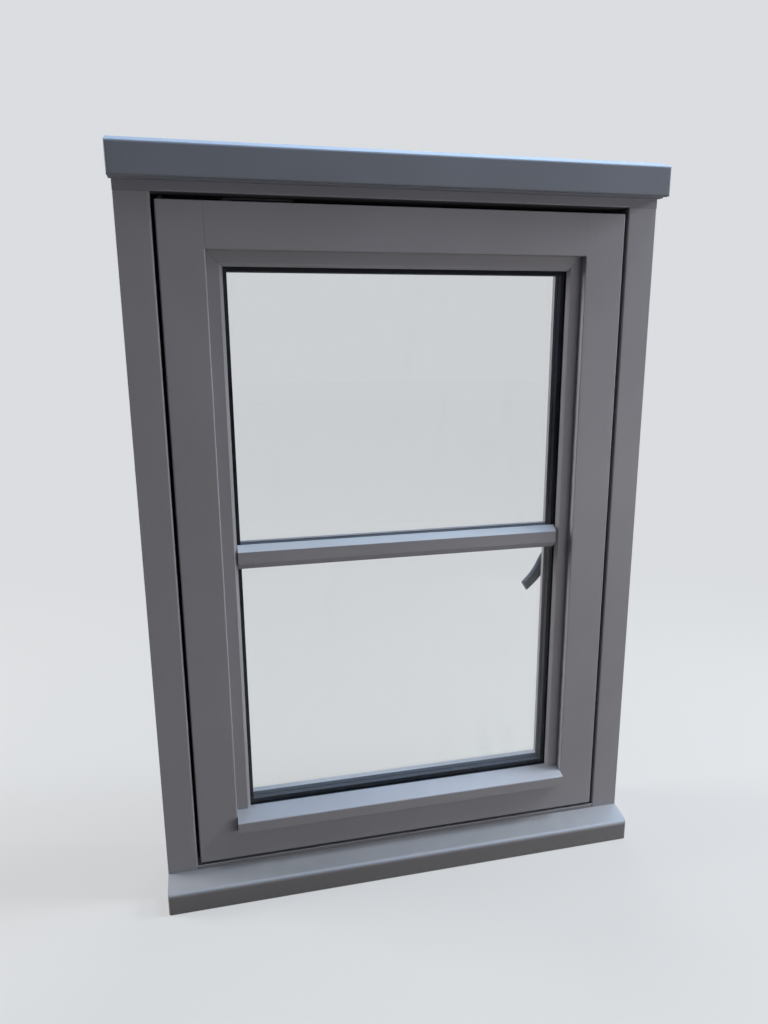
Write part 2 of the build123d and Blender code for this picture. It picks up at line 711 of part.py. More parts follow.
def cut_for_plates(member):
    """Cuts the stay plates' recesses and screw holes out of a sash member."""
    for level in (-1, 1):
        member -= plate_blank(level)
        for x in plate_screw_places():
            member -= Pos(x, STAY_LINE_Y, sash_face(level)) * facing(level) * screw_hole()
    return member


def sash_stile_lock():
    """Right stile: stepped edge, faceplate recess, rod groove, gearbox mortise, spindle hole."""
    section = [
        (SASH_HALF, 0, SASH_ARRIS),
        (SASH_HALF, LOCK_LIP),
        (LOCK_EDGE, LOCK_LIP),
        (LOCK_EDGE, SASH_THICKNESS, BACK_ARRIS),
        (SIGHT_HALF, SASH_THICKNESS, ROOM_ARRIS),
        (SIGHT_HALF, UPSTAND_FRONT),
        (STILE_INNER, UPSTAND_FRONT),
        (STILE_INNER, 0, SASH_ARRIS),
    ]
    stile = stile_blank(1, section)
    plate = FACEPLATE_WIDTH / 2
    y_plate = (LOCK_LINE_Y - plate, LOCK_LINE_Y + plate)
    stile -= block((LOCK_EDGE - FACEPLATE_THICKNESS, SASH_HALF), y_plate, (FACEPLATE_BOTTOM, FACEPLATE_TOP))
    groove = ROD_WIDTH / 2 + ROD_SIDE_CLEARANCE
    low, high = rod_groove_heights()
    x_groove = (ROD_FRONT - ROD_THICKNESS - ROD_SIDE_CLEARANCE, LOCK_EDGE)
    stile -= block(x_groove, (LOCK_LINE_Y - groove, LOCK_LINE_Y + groove), (low, high))
    stile -= block(*gearbox_box())
    stile -= disc_y(LOCK_LINE_Y, SASH_THICKNESS + BITE, SPINDLE_X, SPINDLE_HEIGHT, HUB_RADIUS)
    for z in faceplate_screw_heights():
        stile -= Pos(LOCK_EDGE, LOCK_LINE_Y, z) * Rot(0, 90, 0) * screw_hole()
    for z in handle_screw_heights():
        stile -= Pos(SPINDLE_X, SASH_THICKNESS + ROSE_THICKNESS, z) * Rot(-90, 0, 0) * handle_screw_cutter()
    return stile


def sash_rail(main, upstand):
    """Rail from its main section between the stiles and its upstand between their upstands."""
    rail = along_x(polygon(main), -STILE_INNER, STILE_INNER)
    front = block((-STILE_INNER, STILE_INNER), (-BITE, UPSTAND_FRONT), (0, FRAME_HEIGHT))
    back = block((-SIGHT_HALF, SIGHT_HALF), (UPSTAND_FRONT, SASH_THICKNESS + BITE), (0, FRAME_HEIGHT))
    rail = rail & (front + back)
    return rail + along_x(polygon(upstand), -SIGHT_HALF, SIGHT_HALF)


def sash_rail_top():
    """Top rail with its tenons."""
    main = [
        (0, TOP_RAIL_EDGE, SASH_ARRIS),
        (0, SASH_TOP, SASH_ARRIS),
        (SASH_THICKNESS, SASH_TOP, BACK_ARRIS),
        (SASH_THICKNESS, TOP_RAIL_EDGE),
    ]
    upstand = [
        (UPSTAND_FRONT, TOP_RAIL_EDGE + BITE),
        (UPSTAND_FRONT, SIGHT_TOP),
        (SASH_THICKNESS, SIGHT_TOP, ROOM_ARRIS),
        (SASH_THICKNESS, TOP_RAIL_EDGE + BITE),
    ]
    rail = sash_rail(main, upstand)
    for side in (-1, 1):
        rail += sash_tenon(side, *rail_tenon_heights()[0])
    return cut_for_plates(rail)


def sash_rail_bottom():
    """Bottom rail with its tenons; the glass and the weather bead stand on its top."""
    main = [
        (0, BOTTOM_RAIL_EDGE),
        (0, SASH_BOTTOM, SASH_ARRIS),
        (SASH_THICKNESS, SASH_BOTTOM, BACK_ARRIS),
        (SASH_THICKNESS, BOTTOM_RAIL_EDGE),
    ]
    upstand = [
        (UPSTAND_FRONT, BOTTOM_RAIL_EDGE - BITE),
        (UPSTAND_FRONT, SIGHT_BOTTOM),
        (SASH_THICKNESS, SIGHT_BOTTOM, ROOM_ARRIS),
        (SASH_THICKNESS, BOTTOM_RAIL_EDGE - BITE),
    ]
    rail = sash_rail(main, upstand)
    for side in (-1, 1):
        rail += sash_tenon(side, *rail_tenon_heights()[1])
    return cut_for_plates(rail)


def bead_section(outer, inner):
    """Bead's section as (across, Y): flat face, bevel at the sight line, flat back."""
    step = math.copysign(BEAD_BEVEL, outer - inner)
    face = [(outer, BEAD_RECESS), (inner + step, BEAD_RECESS, BEAD_ARRIS)]
    return face + [(inner, BEAD_BACK), (outer, BEAD_BACK)]


def bead_top():
    """Top glazing bead, mitred at both ends."""
    section = [(y, z) + tuple(r) for z, y, *r in bead_section(TOP_RAIL_EDGE, SIGHT_TOP)]
    bead = along_x(polygon(section), -STILE_INNER, STILE_INNER)
    outline = [
        (-STILE_INNER, TOP_RAIL_EDGE),
        (STILE_INNER, TOP_RAIL_EDGE),
        (SIGHT_HALF, SIGHT_TOP),
        (-SIGHT_HALF, SIGHT_TOP),
    ]
    return bead & along_y(polygon(outline), 0, SASH_THICKNESS)


def bead_side(side):
    """Side glazing bead: mitred at its top, scribed to the weather bead's slope at its foot."""
    section = bead_section(side * STILE_INNER, side * SIGHT_HALF)
    bead = along_z(polygon(section), BOTTOM_RAIL_EDGE, TOP_RAIL_EDGE)
    outline = [
        (side * STILE_INNER, BOTTOM_RAIL_EDGE),
        (side * STILE_INNER, TOP_RAIL_EDGE),
        (side * SIGHT_HALF, SIGHT_TOP),
        (side * SIGHT_HALF, BOTTOM_RAIL_EDGE),
    ]
    bead = bead & along_y(polygon(outline), 0, SASH_THICKNESS)
    return bead - bead_bottom_blank()


def bead_bottom_blank():
    """Weather bead before its groove: sloped top, rounded nose and a flat front."""
    nose = -WEATHER_BEAD_PROJECTION
    section = [
        (BEAD_BACK, BOTTOM_RAIL_EDGE),
        (nose, BOTTOM_RAIL_EDGE, BACK_ARRIS),
        (nose, BOTTOM_RAIL_EDGE + WEATHER_BEAD_NOSE, WEATHER_BEAD_ARRIS),
        (BEAD_BACK, WEATHER_BEAD_TOP),
    ]
    return along_x(polygon(section), -STILE_INNER, STILE_INNER)


def bead_bottom():
    """Weather bead that throws water clear of the bottom rail."""
    groove_y = -WEATHER_BEAD_PROJECTION / 2
    reach = STILE_INNER + BITE
    return bead_bottom_blank() - disc_x(-reach, reach, groove_y, BOTTOM_RAIL_EDGE, THROAT_RADIUS / 2)


def glazing_bar_outer():
    """Outside glazing bar: flat face and two bevels that widen to the glass."""
    half_face = BAR_FACE / 2
    half_back = half_face + BAR_BEVEL_HEIGHT
    section = [
        (GLASS_FRONT, BAR_CENTRE - half_back),
        (BEAD_RECESS, BAR_CENTRE - half_face, BEAD_ARRIS),
        (BEAD_RECESS, BAR_CENTRE + half_face, BEAD_ARRIS),
        (GLASS_FRONT, BAR_CENTRE + half_back),
    ]
    reach = SIGHT_HALF - BAR_END_CLEARANCE
    return along_x(polygon(section), -reach, reach)


def glazing_bar_inner():
    """Room-side glazing bar with rounded edges."""
    half = INNER_BAR_WIDTH / 2
    back = GLASS_BACK + INNER_BAR_DEPTH
    section = [
        (GLASS_BACK, BAR_CENTRE - half),
        (back, BAR_CENTRE - half, ROOM_ARRIS),
        (back, BAR_CENTRE + half, ROOM_ARRIS),
        (GLASS_BACK, BAR_CENTRE + half),
    ]
    reach = SIGHT_HALF - BAR_END_CLEARANCE
    return along_x(polygon(section), -reach, reach)


def cavity_bar():
    """Dark bar between the panes in line with the glazing bars."""
    half = INNER_BAR_WIDTH / 2
    reach = SIGHT_HALF - SPACER_SIGHT
    y = (CAVITY_FRONT + CAVITY_BAR_CLEARANCE, CAVITY_BACK - CAVITY_BAR_CLEARANCE)
    return block((-reach, reach), y, (BAR_CENTRE - half, BAR_CENTRE + half))


def pane(y0):
    """One pane of the double-glazed unit."""
    return block((-GLASS_HALF, GLASS_HALF), (y0, y0 + PANE_THICKNESS), (GLASS_BOTTOM, GLASS_TOP))


def spacer_bands():
    """Widths of the edge seal outside the spacer at the sides, bottom and top."""
    outer = SPACER_SIGHT - SPACER_HEIGHT
    side = GLASS_HALF - SIGHT_HALF + outer
    bottom = SIGHT_BOTTOM - GLASS_BOTTOM + outer
    top = GLASS_TOP - SIGHT_TOP + outer
    return side, bottom, top


def edge_sealant():
    """Black sealant round the edge of the unit, outside the spacer."""
    return ring(GLASS_HALF, GLASS_BOTTOM, GLASS_TOP, spacer_bands(), CAVITY_FRONT, CAVITY_BACK)


def spacer_frame():
    """Spacer between the panes, with a shallow line along the middle of its inner face."""
    side, bottom, top = spacer_bands()
    half = GLASS_HALF - side
    low, high = GLASS_BOTTOM + bottom, GLASS_TOP - top
    band = (SPACER_HEIGHT, SPACER_HEIGHT, SPACER_HEIGHT)
    frame = ring(half, low, high, band, CAVITY_FRONT, CAVITY_BACK)
    inset = SPACER_HEIGHT - SPACER_LINE_DEPTH
    middle = (CAVITY_FRONT + CAVITY_BACK) / 2
    y = (middle - SPACER_LINE_WIDTH / 2, middle + SPACER_LINE_WIDTH / 2)
    return frame - block((-half + inset, half - inset), y, (low + inset, high - inset))


def glazing_tape(y0, y1, low_sight):
    """Black tape ring between the glass and what holds it."""
    inner = SIGHT_HALF + TAPE_SETBACK
    band = (
        GLASS_HALF - inner,
        low_sight - TAPE_SETBACK - GLASS_BOTTOM,
        GLASS_TOP - SIGHT_TOP - TAPE_SETBACK,
    )
    return ring(GLASS_HALF, GLASS_BOTTOM, GLASS_TOP, band, y0, y1)


def setting_blocks():
    """Two blocks that carry the unit on the bottom rail."""
    blocks = []
    for side in (-1, 1):
        inner = GLASS_HALF - SETTING_BLOCK_INSET - SETTING_BLOCK_LENGTH
        x = span(side * inner, side * (inner + SETTING_BLOCK_LENGTH))
        blocks.append(block(x, (GLASS_FRONT, GLASS_BACK), (BOTTOM_RAIL_EDGE, GLASS_BOTTOM)))
    return Compound(children=[b.solid() for b in blocks])


def rod_travel():
    """Rise and fall of the drive rod from rest: locked above, open below."""
    up = PITCH_RADIUS * math.radians(HANDLE_CLOSED_ANGLE)
    down = PITCH_RADIUS * math.radians(HANDLE_OPEN_ANGLE)
    return up, down


def rod_heights():
    """Ends of the drive rod at rest."""
    return CAM_HEIGHTS[0] - ROD_END_MARGIN, CAM_HEIGHTS[-1] + ROD_END_MARGIN


def rod_groove_heights():
    """Ends of the groove that the rod slides in."""
    up, down = rod_travel()
    low, high = rod_heights()
    return low - down - ROD_END_CLEARANCE, high + up + ROD_END_CLEARANCE


def faceplate_screw_heights():
    """Heights of the faceplate's screws."""
    return [FACEPLATE_BOTTOM + FACEPLATE_SCREW_TO_END, FACEPLATE_TOP - FACEPLATE_SCREW_TO_END]


def handle_screw_heights():
    """Heights of the handle's two screws."""
    half = HANDLE_SCREW_SPACING / 2
    return [SPINDLE_HEIGHT - half, SPINDLE_HEIGHT + half]


def keep_screw_heights(cam_z):
    """Heights of a keep's two screws."""
    low, high = keep_heights(cam_z)
    return [low + KEEP_SCREW_TO_END, high - KEEP_SCREW_TO_END]


def keep_heights(cam_z):
    """Ends of a keep for a cam that rests at cam_z."""
    hook_low = cam_z + CAM_HEAD_RADIUS + CAM_CLEARANCE
    high = hook_low + KEEP_HOOK_LENGTH + 2 * KEEP_SCREW_TO_END
    return high - KEEP_LENGTH, high


def gearbox_box():
    """Low and high ends of the gearbox case along X, Y and Z."""
    up, down = rod_travel()
    above, below = rack_counts()
    half_z = max(above * rack_pitch() + up, below * rack_pitch() + down) + CASE_CLEARANCE + CASE_WALL
    x = (SPINDLE_X - HUB_RADIUS - CASE_CLEARANCE - CASE_WALL, LOCK_EDGE - FACEPLATE_THICKNESS)
    y = (LOCK_LINE_Y - CASE_DEPTH / 2, LOCK_LINE_Y + CASE_DEPTH / 2)
    return x, y, (SPINDLE_HEIGHT - half_z, SPINDLE_HEIGHT + half_z)


def gearbox_case():
    """Gearbox case: open towards the rod, slotted at its ends, with a bearing in each side."""
    x, y, z = gearbox_box()
    case = block(x, y, z)
    wall = CASE_WALL
    inner_x = (x[0] + wall, x[1] + BITE)
    case -= block(inner_x, (y[0] + wall, y[1] - wall), (z[0] + wall, z[1] - wall))
    half = ROD_WIDTH / 2 + ROD_SIDE_CLEARANCE
    rod_x = (ROD_FRONT - ROD_THICKNESS - ROD_SIDE_CLEARANCE, x[1] + BITE)
    case -= block(rod_x, (LOCK_LINE_Y - half, LOCK_LINE_Y + half), (z[0] - BITE, z[1] + BITE))
    bearing = BEARING_RADIUS + PIN_CLEARANCE
    return case - disc_y(y[0] - BITE, y[1] + BITE, SPINDLE_X, SPINDLE_HEIGHT, bearing)


def involute(base_radius, radius, start):
    """Point of an involute at a radius, turned so that it leaves the base circle at start."""
    t = math.sqrt(max((radius / base_radius) ** 2 - 1, 0.0))
    angle = start + t - math.atan(t)
    return radius * math.cos(angle), radius * math.sin(angle)


def gear_tooth():
    """One pinion tooth that points to +X, drawn about the origin, with involute flanks."""
    pressure = math.radians(PRESSURE_ANGLE)
    base = PITCH_RADIUS * math.cos(pressure)
    tip = PITCH_RADIUS + GEAR_ADDENDUM
    root = PITCH_RADIUS - GEAR_DEDENDUM
    tooth_half = math.pi / (2 * GEAR_TEETH) - GEAR_BACKLASH / (2 * PITCH_RADIUS)
    spread = math.tan(pressure) - pressure
    start = -(tooth_half + spread)
    steps = 4
    flank = [involute(base, base + (tip - base) * k / steps, start) for k in range(steps + 1)]
    foot = (root * math.cos(start), root * math.sin(start))
    upper = [(x, -y) for x, y in reversed(flank)]
    inside = (HUB_RADIUS, 0)
    lines = [
        Line(inside, foot),
        Line(foot, flank[0]),
        Spline(*flank),
        ThreePointArc(flank[-1], (tip, 0), upper[0]),
        Spline(*upper),
        Line(upper[-1], (foot[0], -foot[1])),
        Line((foot[0], -foot[1]), inside),
    ]
    return make_face(lines)


def pinion():
    """Toothed sector on a square-holed hub that turns in the gearbox case."""
    pitch_angle = 360.0 / GEAR_TEETH
    half = GEAR_FACE / 2
    root = PITCH_RADIUS - GEAR_DEDENDUM
    sweep = math.radians(pitch_angle * SECTOR_TEETH / 2)
    corner = (root * math.cos(sweep), root * math.sin(sweep))
    sector = make_face(
        [
            Line((0, 0), (corner[0], -corner[1])),
            ThreePointArc((corner[0], -corner[1]), (root, 0), corner),
            Line(corner, (0, 0)),
        ]
    )
    profile = sector + Circle(HUB_RADIUS)
    for k in range(SECTOR_TEETH):
        profile += Rot(0, 0, (k - SECTOR_TEETH // 2) * pitch_angle) * gear_tooth()
    place = Pos(SPINDLE_X, SPINDLE_HEIGHT)
    gear = along_y(place * profile, LOCK_LINE_Y - half, LOCK_LINE_Y + half)
    hub_half = CASE_DEPTH / 2
    hub_ends = (LOCK_LINE_Y - hub_half, LOCK_LINE_Y + hub_half)
    gear += disc_y(*hub_ends, SPINDLE_X, SPINDLE_HEIGHT, BEARING_RADIUS)
    return gear - spindle_bar(PIN_CLEARANCE)


def spindle_bar(grow=0.0):
    """Square spindle from the gearbox to the lever's neck."""
    half = SPINDLE_SIDE / 2 + grow
    x = (SPINDLE_X - half, SPINDLE_X + half)
    z = (SPINDLE_HEIGHT - half, SPINDLE_HEIGHT + half)
    end = SASH_THICKNESS + LEVER_CLEAR
    return block(x, (LOCK_LINE_Y - CASE_DEPTH / 2, end + grow), z)


def rack_pitch():
    """Distance from one rack tooth to the next."""
    return math.pi * GEAR_MODULE


def rack_counts():
    """Numbers of rack teeth above and below the spindle that the rod's travel needs."""
    up, down = rod_travel()
    return math.ceil(down / rack_pitch()) + 1, math.ceil(up / rack_pitch()) + 1


def rack_teeth():
    """Rack teeth on the rod's inner side, in mesh with the pinion at rest."""
    slope = math.tan(math.radians(PRESSURE_ANGLE))
    line = SPINDLE_X + PITCH_RADIUS
    half = (rack_pitch() - GEAR_BACKLASH) / 4
    back = ROD_FRONT - ROD_THICKNESS + BITE
    crest = line - GEAR_ADDENDUM
    tip = half - GEAR_ADDENDUM * slope
    root = half + (back - line) * slope
    width = GEAR_FACE / 2
    above, below = rack_counts()
    teeth = []
    for k in range(-below, above):
        z = SPINDLE_HEIGHT + (k + 0.5) * rack_pitch()
        corners = [(crest, z - tip), (back, z - root), (back, z + root), (crest, z + tip)]
        teeth.append(along_y(polygon(corners), LOCK_LINE_Y - width, LOCK_LINE_Y + width))
    return teeth


def drive_rod():
    """Drive rod behind the faceplate, with the rack that the pinion moves."""
    low, high = rod_heights()
    half = ROD_WIDTH / 2
    width = (LOCK_LINE_Y - half, LOCK_LINE_Y + half)
    rod = block((ROD_FRONT - ROD_THICKNESS, ROD_FRONT), width, (low, high))
    for tooth in rack_teeth():
        rod += tooth
    return rod


def locking_cams():
    """Mushroom cams that stand on the rod and reach out through the faceplate."""
    cams = []
    for z in CAM_HEIGHTS:
        neck_end = LOCK_EDGE + CAM_NECK_LENGTH
        cam = disc_x(ROD_FRONT, neck_end, LOCK_LINE_Y, z, CAM_NECK_RADIUS)
        cam += disc_x(neck_end, neck_end + CAM_HEAD_THICKNESS, LOCK_LINE_Y, z, CAM_HEAD_RADIUS)
        cams.append(cam.solid())
    return Compound(children=cams)


def lock_faceplate():
    """Faceplate with a slot for each cam."""
    half = FACEPLATE_WIDTH / 2
    x = (LOCK_EDGE - FACEPLATE_THICKNESS, LOCK_EDGE)
    plate = block(x, (LOCK_LINE_Y - half, LOCK_LINE_Y + half), (FACEPLATE_BOTTOM, FACEPLATE_TOP))
    up, down = rod_travel()
    width = CAM_NECK_RADIUS + ROD_SIDE_CLEARANCE
    slot_x = (x[0] - BITE, x[1] + BITE)
    slot_y = (LOCK_LINE_Y - width, LOCK_LINE_Y + width)
    for z in CAM_HEIGHTS:
        plate -= block(slot_x, slot_y, (z - down - width, z + up + width))
    for z in faceplate_screw_heights():
        plate -= Pos(LOCK_EDGE, LOCK_LINE_Y, z) * Rot(0, 90, 0) * screw_hole()
    return plate


def keep(cam_z):
    """Keep on the jamb: a screwed base, a wall on its outer side and a hook over the cam's neck."""
    low, high = keep_heights(cam_z)
    base_x = (JAMB_INNER - KEEP_BASE, JAMB_INNER)
    half = KEEP_WIDTH / 2
    body = block(base_x, (LOCK_LINE_Y - half, LOCK_LINE_Y + half), (low, high))
    hook_low = cam_z + CAM_HEAD_RADIUS + CAM_CLEARANCE
    hook_z = (hook_low, hook_low + KEEP_HOOK_LENGTH)
    hook_x = LOCK_EDGE + CAM_NECK_LENGTH - KEEP_CLEARANCE - KEEP_HOOK_THICKNESS
    wall_y = LOCK_LINE_Y - CAM_HEAD_RADIUS - KEEP_CLEARANCE
    body += block((hook_x, base_x[0] + BITE), (wall_y - KEEP_HOOK_THICKNESS, wall_y), hook_z)
    tip_y = LOCK_LINE_Y - CAM_NECK_RADIUS - KEEP_CLEARANCE
    body += block((hook_x, hook_x + KEEP_HOOK_THICKNESS), (wall_y - KEEP_HOOK_THICKNESS, tip_y), hook_z)
    for z in keep_screw_heights(cam_z):
        body -= Pos(base_x[0], LOCK_LINE_Y, z) * Rot(0, -90, 0) * screw_hole()
    return body


def handle_rose():
    """Rose screwed to the sash on the room side, with the bearing for the lever's neck."""
    outline = SlotCenterToCenter(ROSE_HEIGHT - ROSE_WIDTH, ROSE_WIDTH, rotation=90)
    y0, y1 = SASH_THICKNESS, SASH_THICKNESS + ROSE_THICKNESS
    rose = along_y(Pos(SPINDLE_X, SPINDLE_HEIGHT) * outline, y0, y1)
    rim = [e for e in rose.edges() if abs(e.center().Y - y1) < PLACE_MATCH]
    rose = fillet(rim, ROSE_ROUNDING)
    rose -= disc_y(y0 - BITE, y1 + BITE, SPINDLE_X, SPINDLE_HEIGHT, NECK_RADIUS + NECK_CLEARANCE)
    for z in handle_screw_heights():
        rose -= Pos(SPINDLE_X, y1, z) * Rot(-90, 0, 0) * handle_screw_cutter()
    return rose


def handle_screw_cutter():
    """Cutter for a handle screw with its head sunk in the rose."""
    radius = SCREW_HEAD_RADIUS + SCREW_HEAD_CLEARANCE
    well = disc_z(-SCREW_WELL_DEPTH, BITE, 0, 0, radius)
    return well + Pos(0, 0, -SCREW_WELL_DEPTH) * screw_hole()


def handle_lever():
    """Lever: a round neck in the rose and a tapered blade that leans down to the left."""
    y_blade = SASH_THICKNESS + LEVER_CLEAR
    neck = disc_y(SASH_THICKNESS, y_blade + LEVER_THICKNESS / 2, SPINDLE_X, SPINDLE_HEIGHT, NECK_RADIUS)
    root = LEVER_ROOT_WIDTH / 2
    tip = LEVER_TIP_WIDTH / 2
    blade = [
        (-root, root, root * 0.7),
        (root, root, root * 0.7),
        (root, -root * 0.4),
        (tip, -LEVER_REACH, LEVER_ROUNDING),
        (-tip, -LEVER_REACH, LEVER_ROUNDING),
        (-root, -root * 0.4),
    ]
    turned = Pos(SPINDLE_X, SPINDLE_HEIGHT) * Rot(0, 0, -HANDLE_CLOSED_ANGLE) * polygon(blade)
    lever = along_y(turned, y_blade, y_blade + LEVER_THICKNESS)
    rims = [e for e in lever.edges() if abs(e.center().Y - y_blade - LEVER_THICKNESS) < PLACE_MATCH]
    lever = fillet(rims, LEVER_ROUNDING)
    inner = [e for e in lever.edges() if abs(e.center().Y - y_blade) < PLACE_MATCH]
    lever = fillet(inner, LEVER_ROUNDING / 2)
    return lever + neck - spindle_bar(PIN_CLEARANCE)


def screw_group(places):
    """Screws at the given placements, kept as separate solids."""
    return Compound(children=[(place * screw()).solid() for place in places])


def track_screws():
    """Screws of both tracks."""
    sunk = Pos(0, 0, -TRACK_DEPTH + TRACK_WALL)
    places = []
    for x in track_screw_places():
        places.append(Pos(x, STAY_LINE_Y, HEAD_BOTTOM) * Rot(180, 0, 0) * sunk)
        places.append(Pos(x, STAY_LINE_Y, SILL_PLATFORM) * sunk)
    return screw_group(places)


def plate_screws():
    """Screws of both sash plates."""
    places = []
    for x in plate_screw_places():
        places.append(Pos(x, STAY_LINE_Y, SASH_TOP))
        places.append(Pos(x, STAY_LINE_Y, SASH_BOTTOM) * Rot(180, 0, 0))
    return screw_group(places)


def keep_screws():
    """Screws of both keeps."""
    places = []
    for cam_z in CAM_HEIGHTS:
        for z in keep_screw_heights(cam_z):
            places.append(Pos(JAMB_INNER - KEEP_BASE, LOCK_LINE_Y, z) * Rot(0, -90, 0))
    return screw_group(places)


def faceplate_screws():
    """Screws of the faceplate."""
    return screw_group([Pos(LOCK_EDGE, LOCK_LINE_Y, z) * Rot(0, 90, 0) for z in faceplate_screw_heights()])


def handle_screws():
    """Screws of the handle's rose."""
    y = SASH_THICKNESS + ROSE_THICKNESS - SCREW_WELL_DEPTH
    return screw_group([Pos(SPINDLE_X, y, z) * Rot(-90, 0, 0) for z in handle_screw_heights()])


def build_parts():
    """Every node of the window, by name."""
    parts = {
        "frame_sill": frame_sill(),
        "frame_head": frame_head(),
        "frame_jamb_hinge_side": frame_jamb(-1),
        "frame_jamb_lock_side": frame_jamb(1),
        "head_drip": head_drip(),
        "sash_stile_hinge_side": sash_stile_hinge(),
        "sash_stile_lock_side": sash_stile_lock(),
        "sash_rail_top": sash_rail_top(),
        "sash_rail_bottom": sash_rail_bottom(),
        "bead_top": bead_top(),
        "bead_hinge_side": bead_side(-1),
        "bead_lock_side": bead_side(1),
        "bead_bottom": bead_bottom(),
        "glazing_bar_outer": glazing_bar_outer(),
        "glazing_bar_inner": glazing_bar_inner(),
        "cavity_bar": cavity_bar(),
        "outer_pane": pane(GLASS_FRONT),
        "inner_pane": pane(CAVITY_BACK),
        "spacer_frame": spacer_frame(),
        "edge_sealant": edge_sealant(),
        "glazing_tape_outer": glazing_tape(BEAD_BACK, GLASS_FRONT, WEATHER_BEAD_TOP),
        "glazing_tape_inner": glazing_tape(GLASS_BACK, UPSTAND_FRONT, SIGHT_BOTTOM),
        "setting_blocks": setting_blocks(),
        "lock_faceplate": lock_faceplate(),
        "gearbox_case": gearbox_case(),
        "gearbox_pinion": pinion(),
        "drive_rod": drive_rod(),
        "locking_cams": locking_cams(),
        "keep_lower": keep(CAM_HEIGHTS[0]),
        "keep_upper": keep(CAM_HEIGHTS[-1]),
        "handle_rose": handle_rose(),
        "handle_lever": handle_lever(),
        "handle_spindle": spindle_bar(),
        "track_screws": track_screws(),
        "plate_screws": plate_screws(),
        "keep_screws": keep_screws(),
        "faceplate_screws": faceplate_screws(),
        "handle_screws": handle_screws(),
    }
    for name, level in (("top", 1), ("bottom", -1)):
        parts["stay_track_" + name] = stay_track(level)
        parts["stay_arm_" + name] = stay_arm(level)
        parts["stay_plate_" + name] = stay_plate(level)
        parts["stay_shoe_" + name] = stay_shoe(level)
    parts.update(weather_seals())
    return parts


def main():
    """Writes one STEP file for each node."""
    os.makedirs("parts", exist_ok=True)
    for name, shape in build_parts().items():
        export_step(shape, os.path.join("parts", name + ".step"))


if __name__ == "__main__":
    main()
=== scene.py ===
import logging
import math
from dataclasses import dataclass
from enum import Enum
from typing import Any, Callable, Iterable, Protocol, Sequence, Union

import bpy
from mathutils import Matrix, Vector

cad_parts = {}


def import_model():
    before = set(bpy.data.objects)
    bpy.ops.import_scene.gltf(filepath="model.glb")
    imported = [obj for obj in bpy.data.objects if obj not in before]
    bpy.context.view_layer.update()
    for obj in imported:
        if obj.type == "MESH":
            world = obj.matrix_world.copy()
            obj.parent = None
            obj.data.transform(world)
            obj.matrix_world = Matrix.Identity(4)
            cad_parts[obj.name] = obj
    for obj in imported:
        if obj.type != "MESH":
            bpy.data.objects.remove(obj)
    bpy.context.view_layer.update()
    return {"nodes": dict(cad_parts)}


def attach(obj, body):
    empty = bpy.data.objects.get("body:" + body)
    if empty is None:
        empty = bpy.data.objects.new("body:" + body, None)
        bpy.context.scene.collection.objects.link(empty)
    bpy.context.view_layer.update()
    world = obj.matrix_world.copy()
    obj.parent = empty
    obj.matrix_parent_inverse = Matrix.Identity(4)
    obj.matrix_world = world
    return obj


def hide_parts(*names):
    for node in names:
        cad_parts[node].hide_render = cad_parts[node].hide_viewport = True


LOG = logging.getLogger("window")
MM = 0.001
UP = Vector((0.0, 0.0, 1.0))

Colour = tuple[float, float, float]
Place = tuple[float, float, float]
Material = bpy.types.Material
Piece = bpy.types.Object
Socket = bpy.types.NodeSocket


def shade(red: int, green: int, blue: int) -> Colour:
    """Turns a screen colour into the linear colour that a shader takes.

    Args:
        red: Red, 0 to 255.
        green: Green, 0 to 255.
        blue: Blue, 0 to 255.

    Returns:
        The same colour in linear light, 0 to 1.
    """
    linear = []
    for channel in (red, green, blue):
        part = channel / 255.0
        linear.append(part / 12.92 if part <= 0.04045 else ((part + 0.055) / 1.055) ** 2.4)
    return linear[0], linear[1], linear[2]


# Shader maths


class Field:
    """A value on the surface that takes part in Python arithmetic."""

    def __init__(self, recipe: "Recipe", socket: Socket) -> None:
        """Wraps a socket.

        Args:
            recipe: The material that the socket belongs to.
            socket: The output that carries the value.
        """
        self.recipe = recipe
        self.socket = socket

    def math(self, operation: str, *others: "Number", swapped: bool = False) -> "Field":
        """Adds one Math node.

        Args:
            operation: The Math node's operation.
            *others: The further operands.
            swapped: Whether this value is the second operand.

        Returns:
            The node's result.
        """
        operands: list[Any] = [self, *others]
        if swapped:
            operands.reverse()
        node = self.recipe.node("ShaderNodeMath", {"operation": operation}, dict(enumerate(operands)))
        return Field(self.recipe, node.outputs[0])

    def __add__(self, other: "Number") -> "Field":
        """Adds."""
        return self.math("ADD", other)

    __radd__ = __add__

    def __sub__(self, other: "Number") -> "Field":
        """Subtracts."""
        return self.math("SUBTRACT", other)

    def __rsub__(self, other: "Number") -> "Field":
        """Is subtracted."""
        return self.math("SUBTRACT", other, swapped=True)

    def __mul__(self, other: "Number") -> "Field":
        """Multiplies."""
        return self.math("MULTIPLY", other)

    __rmul__ = __mul__

    def __truediv__(self, other: "Number") -> "Field":
        """Divides."""
        return self.math("DIVIDE", other)

    def __abs__(self) -> "Field":
        """Drops the sign."""
        return self.math("ABSOLUTE")

    def most(self, other: "Number") -> "Field":
        """Gives the larger of two values."""
        return self.math("MAXIMUM", other)

    def rise(self, low: float, high: float) -> "Field":
        """Goes smoothly from 0 at low to 1 at high, or the other way where high is below low.

        Args:
            low: The value that gives 0.
            high: The value that gives 1.

        Returns:
            The eased value.
        """
        ends = (low, high, 0.0, 1.0) if low < high else (high, low, 1.0, 0.0)
        node = self.recipe.node(
            "ShaderNodeMapRange",
            {"interpolation_type": "SMOOTHSTEP"},
            {"Value": self, "From Min": ends[0], "From Max": ends[1], "To Min": ends[2], "To Max": ends[3]},
        )
        return Field(self.recipe, node.outputs[0])


Number = Union[float, Field]


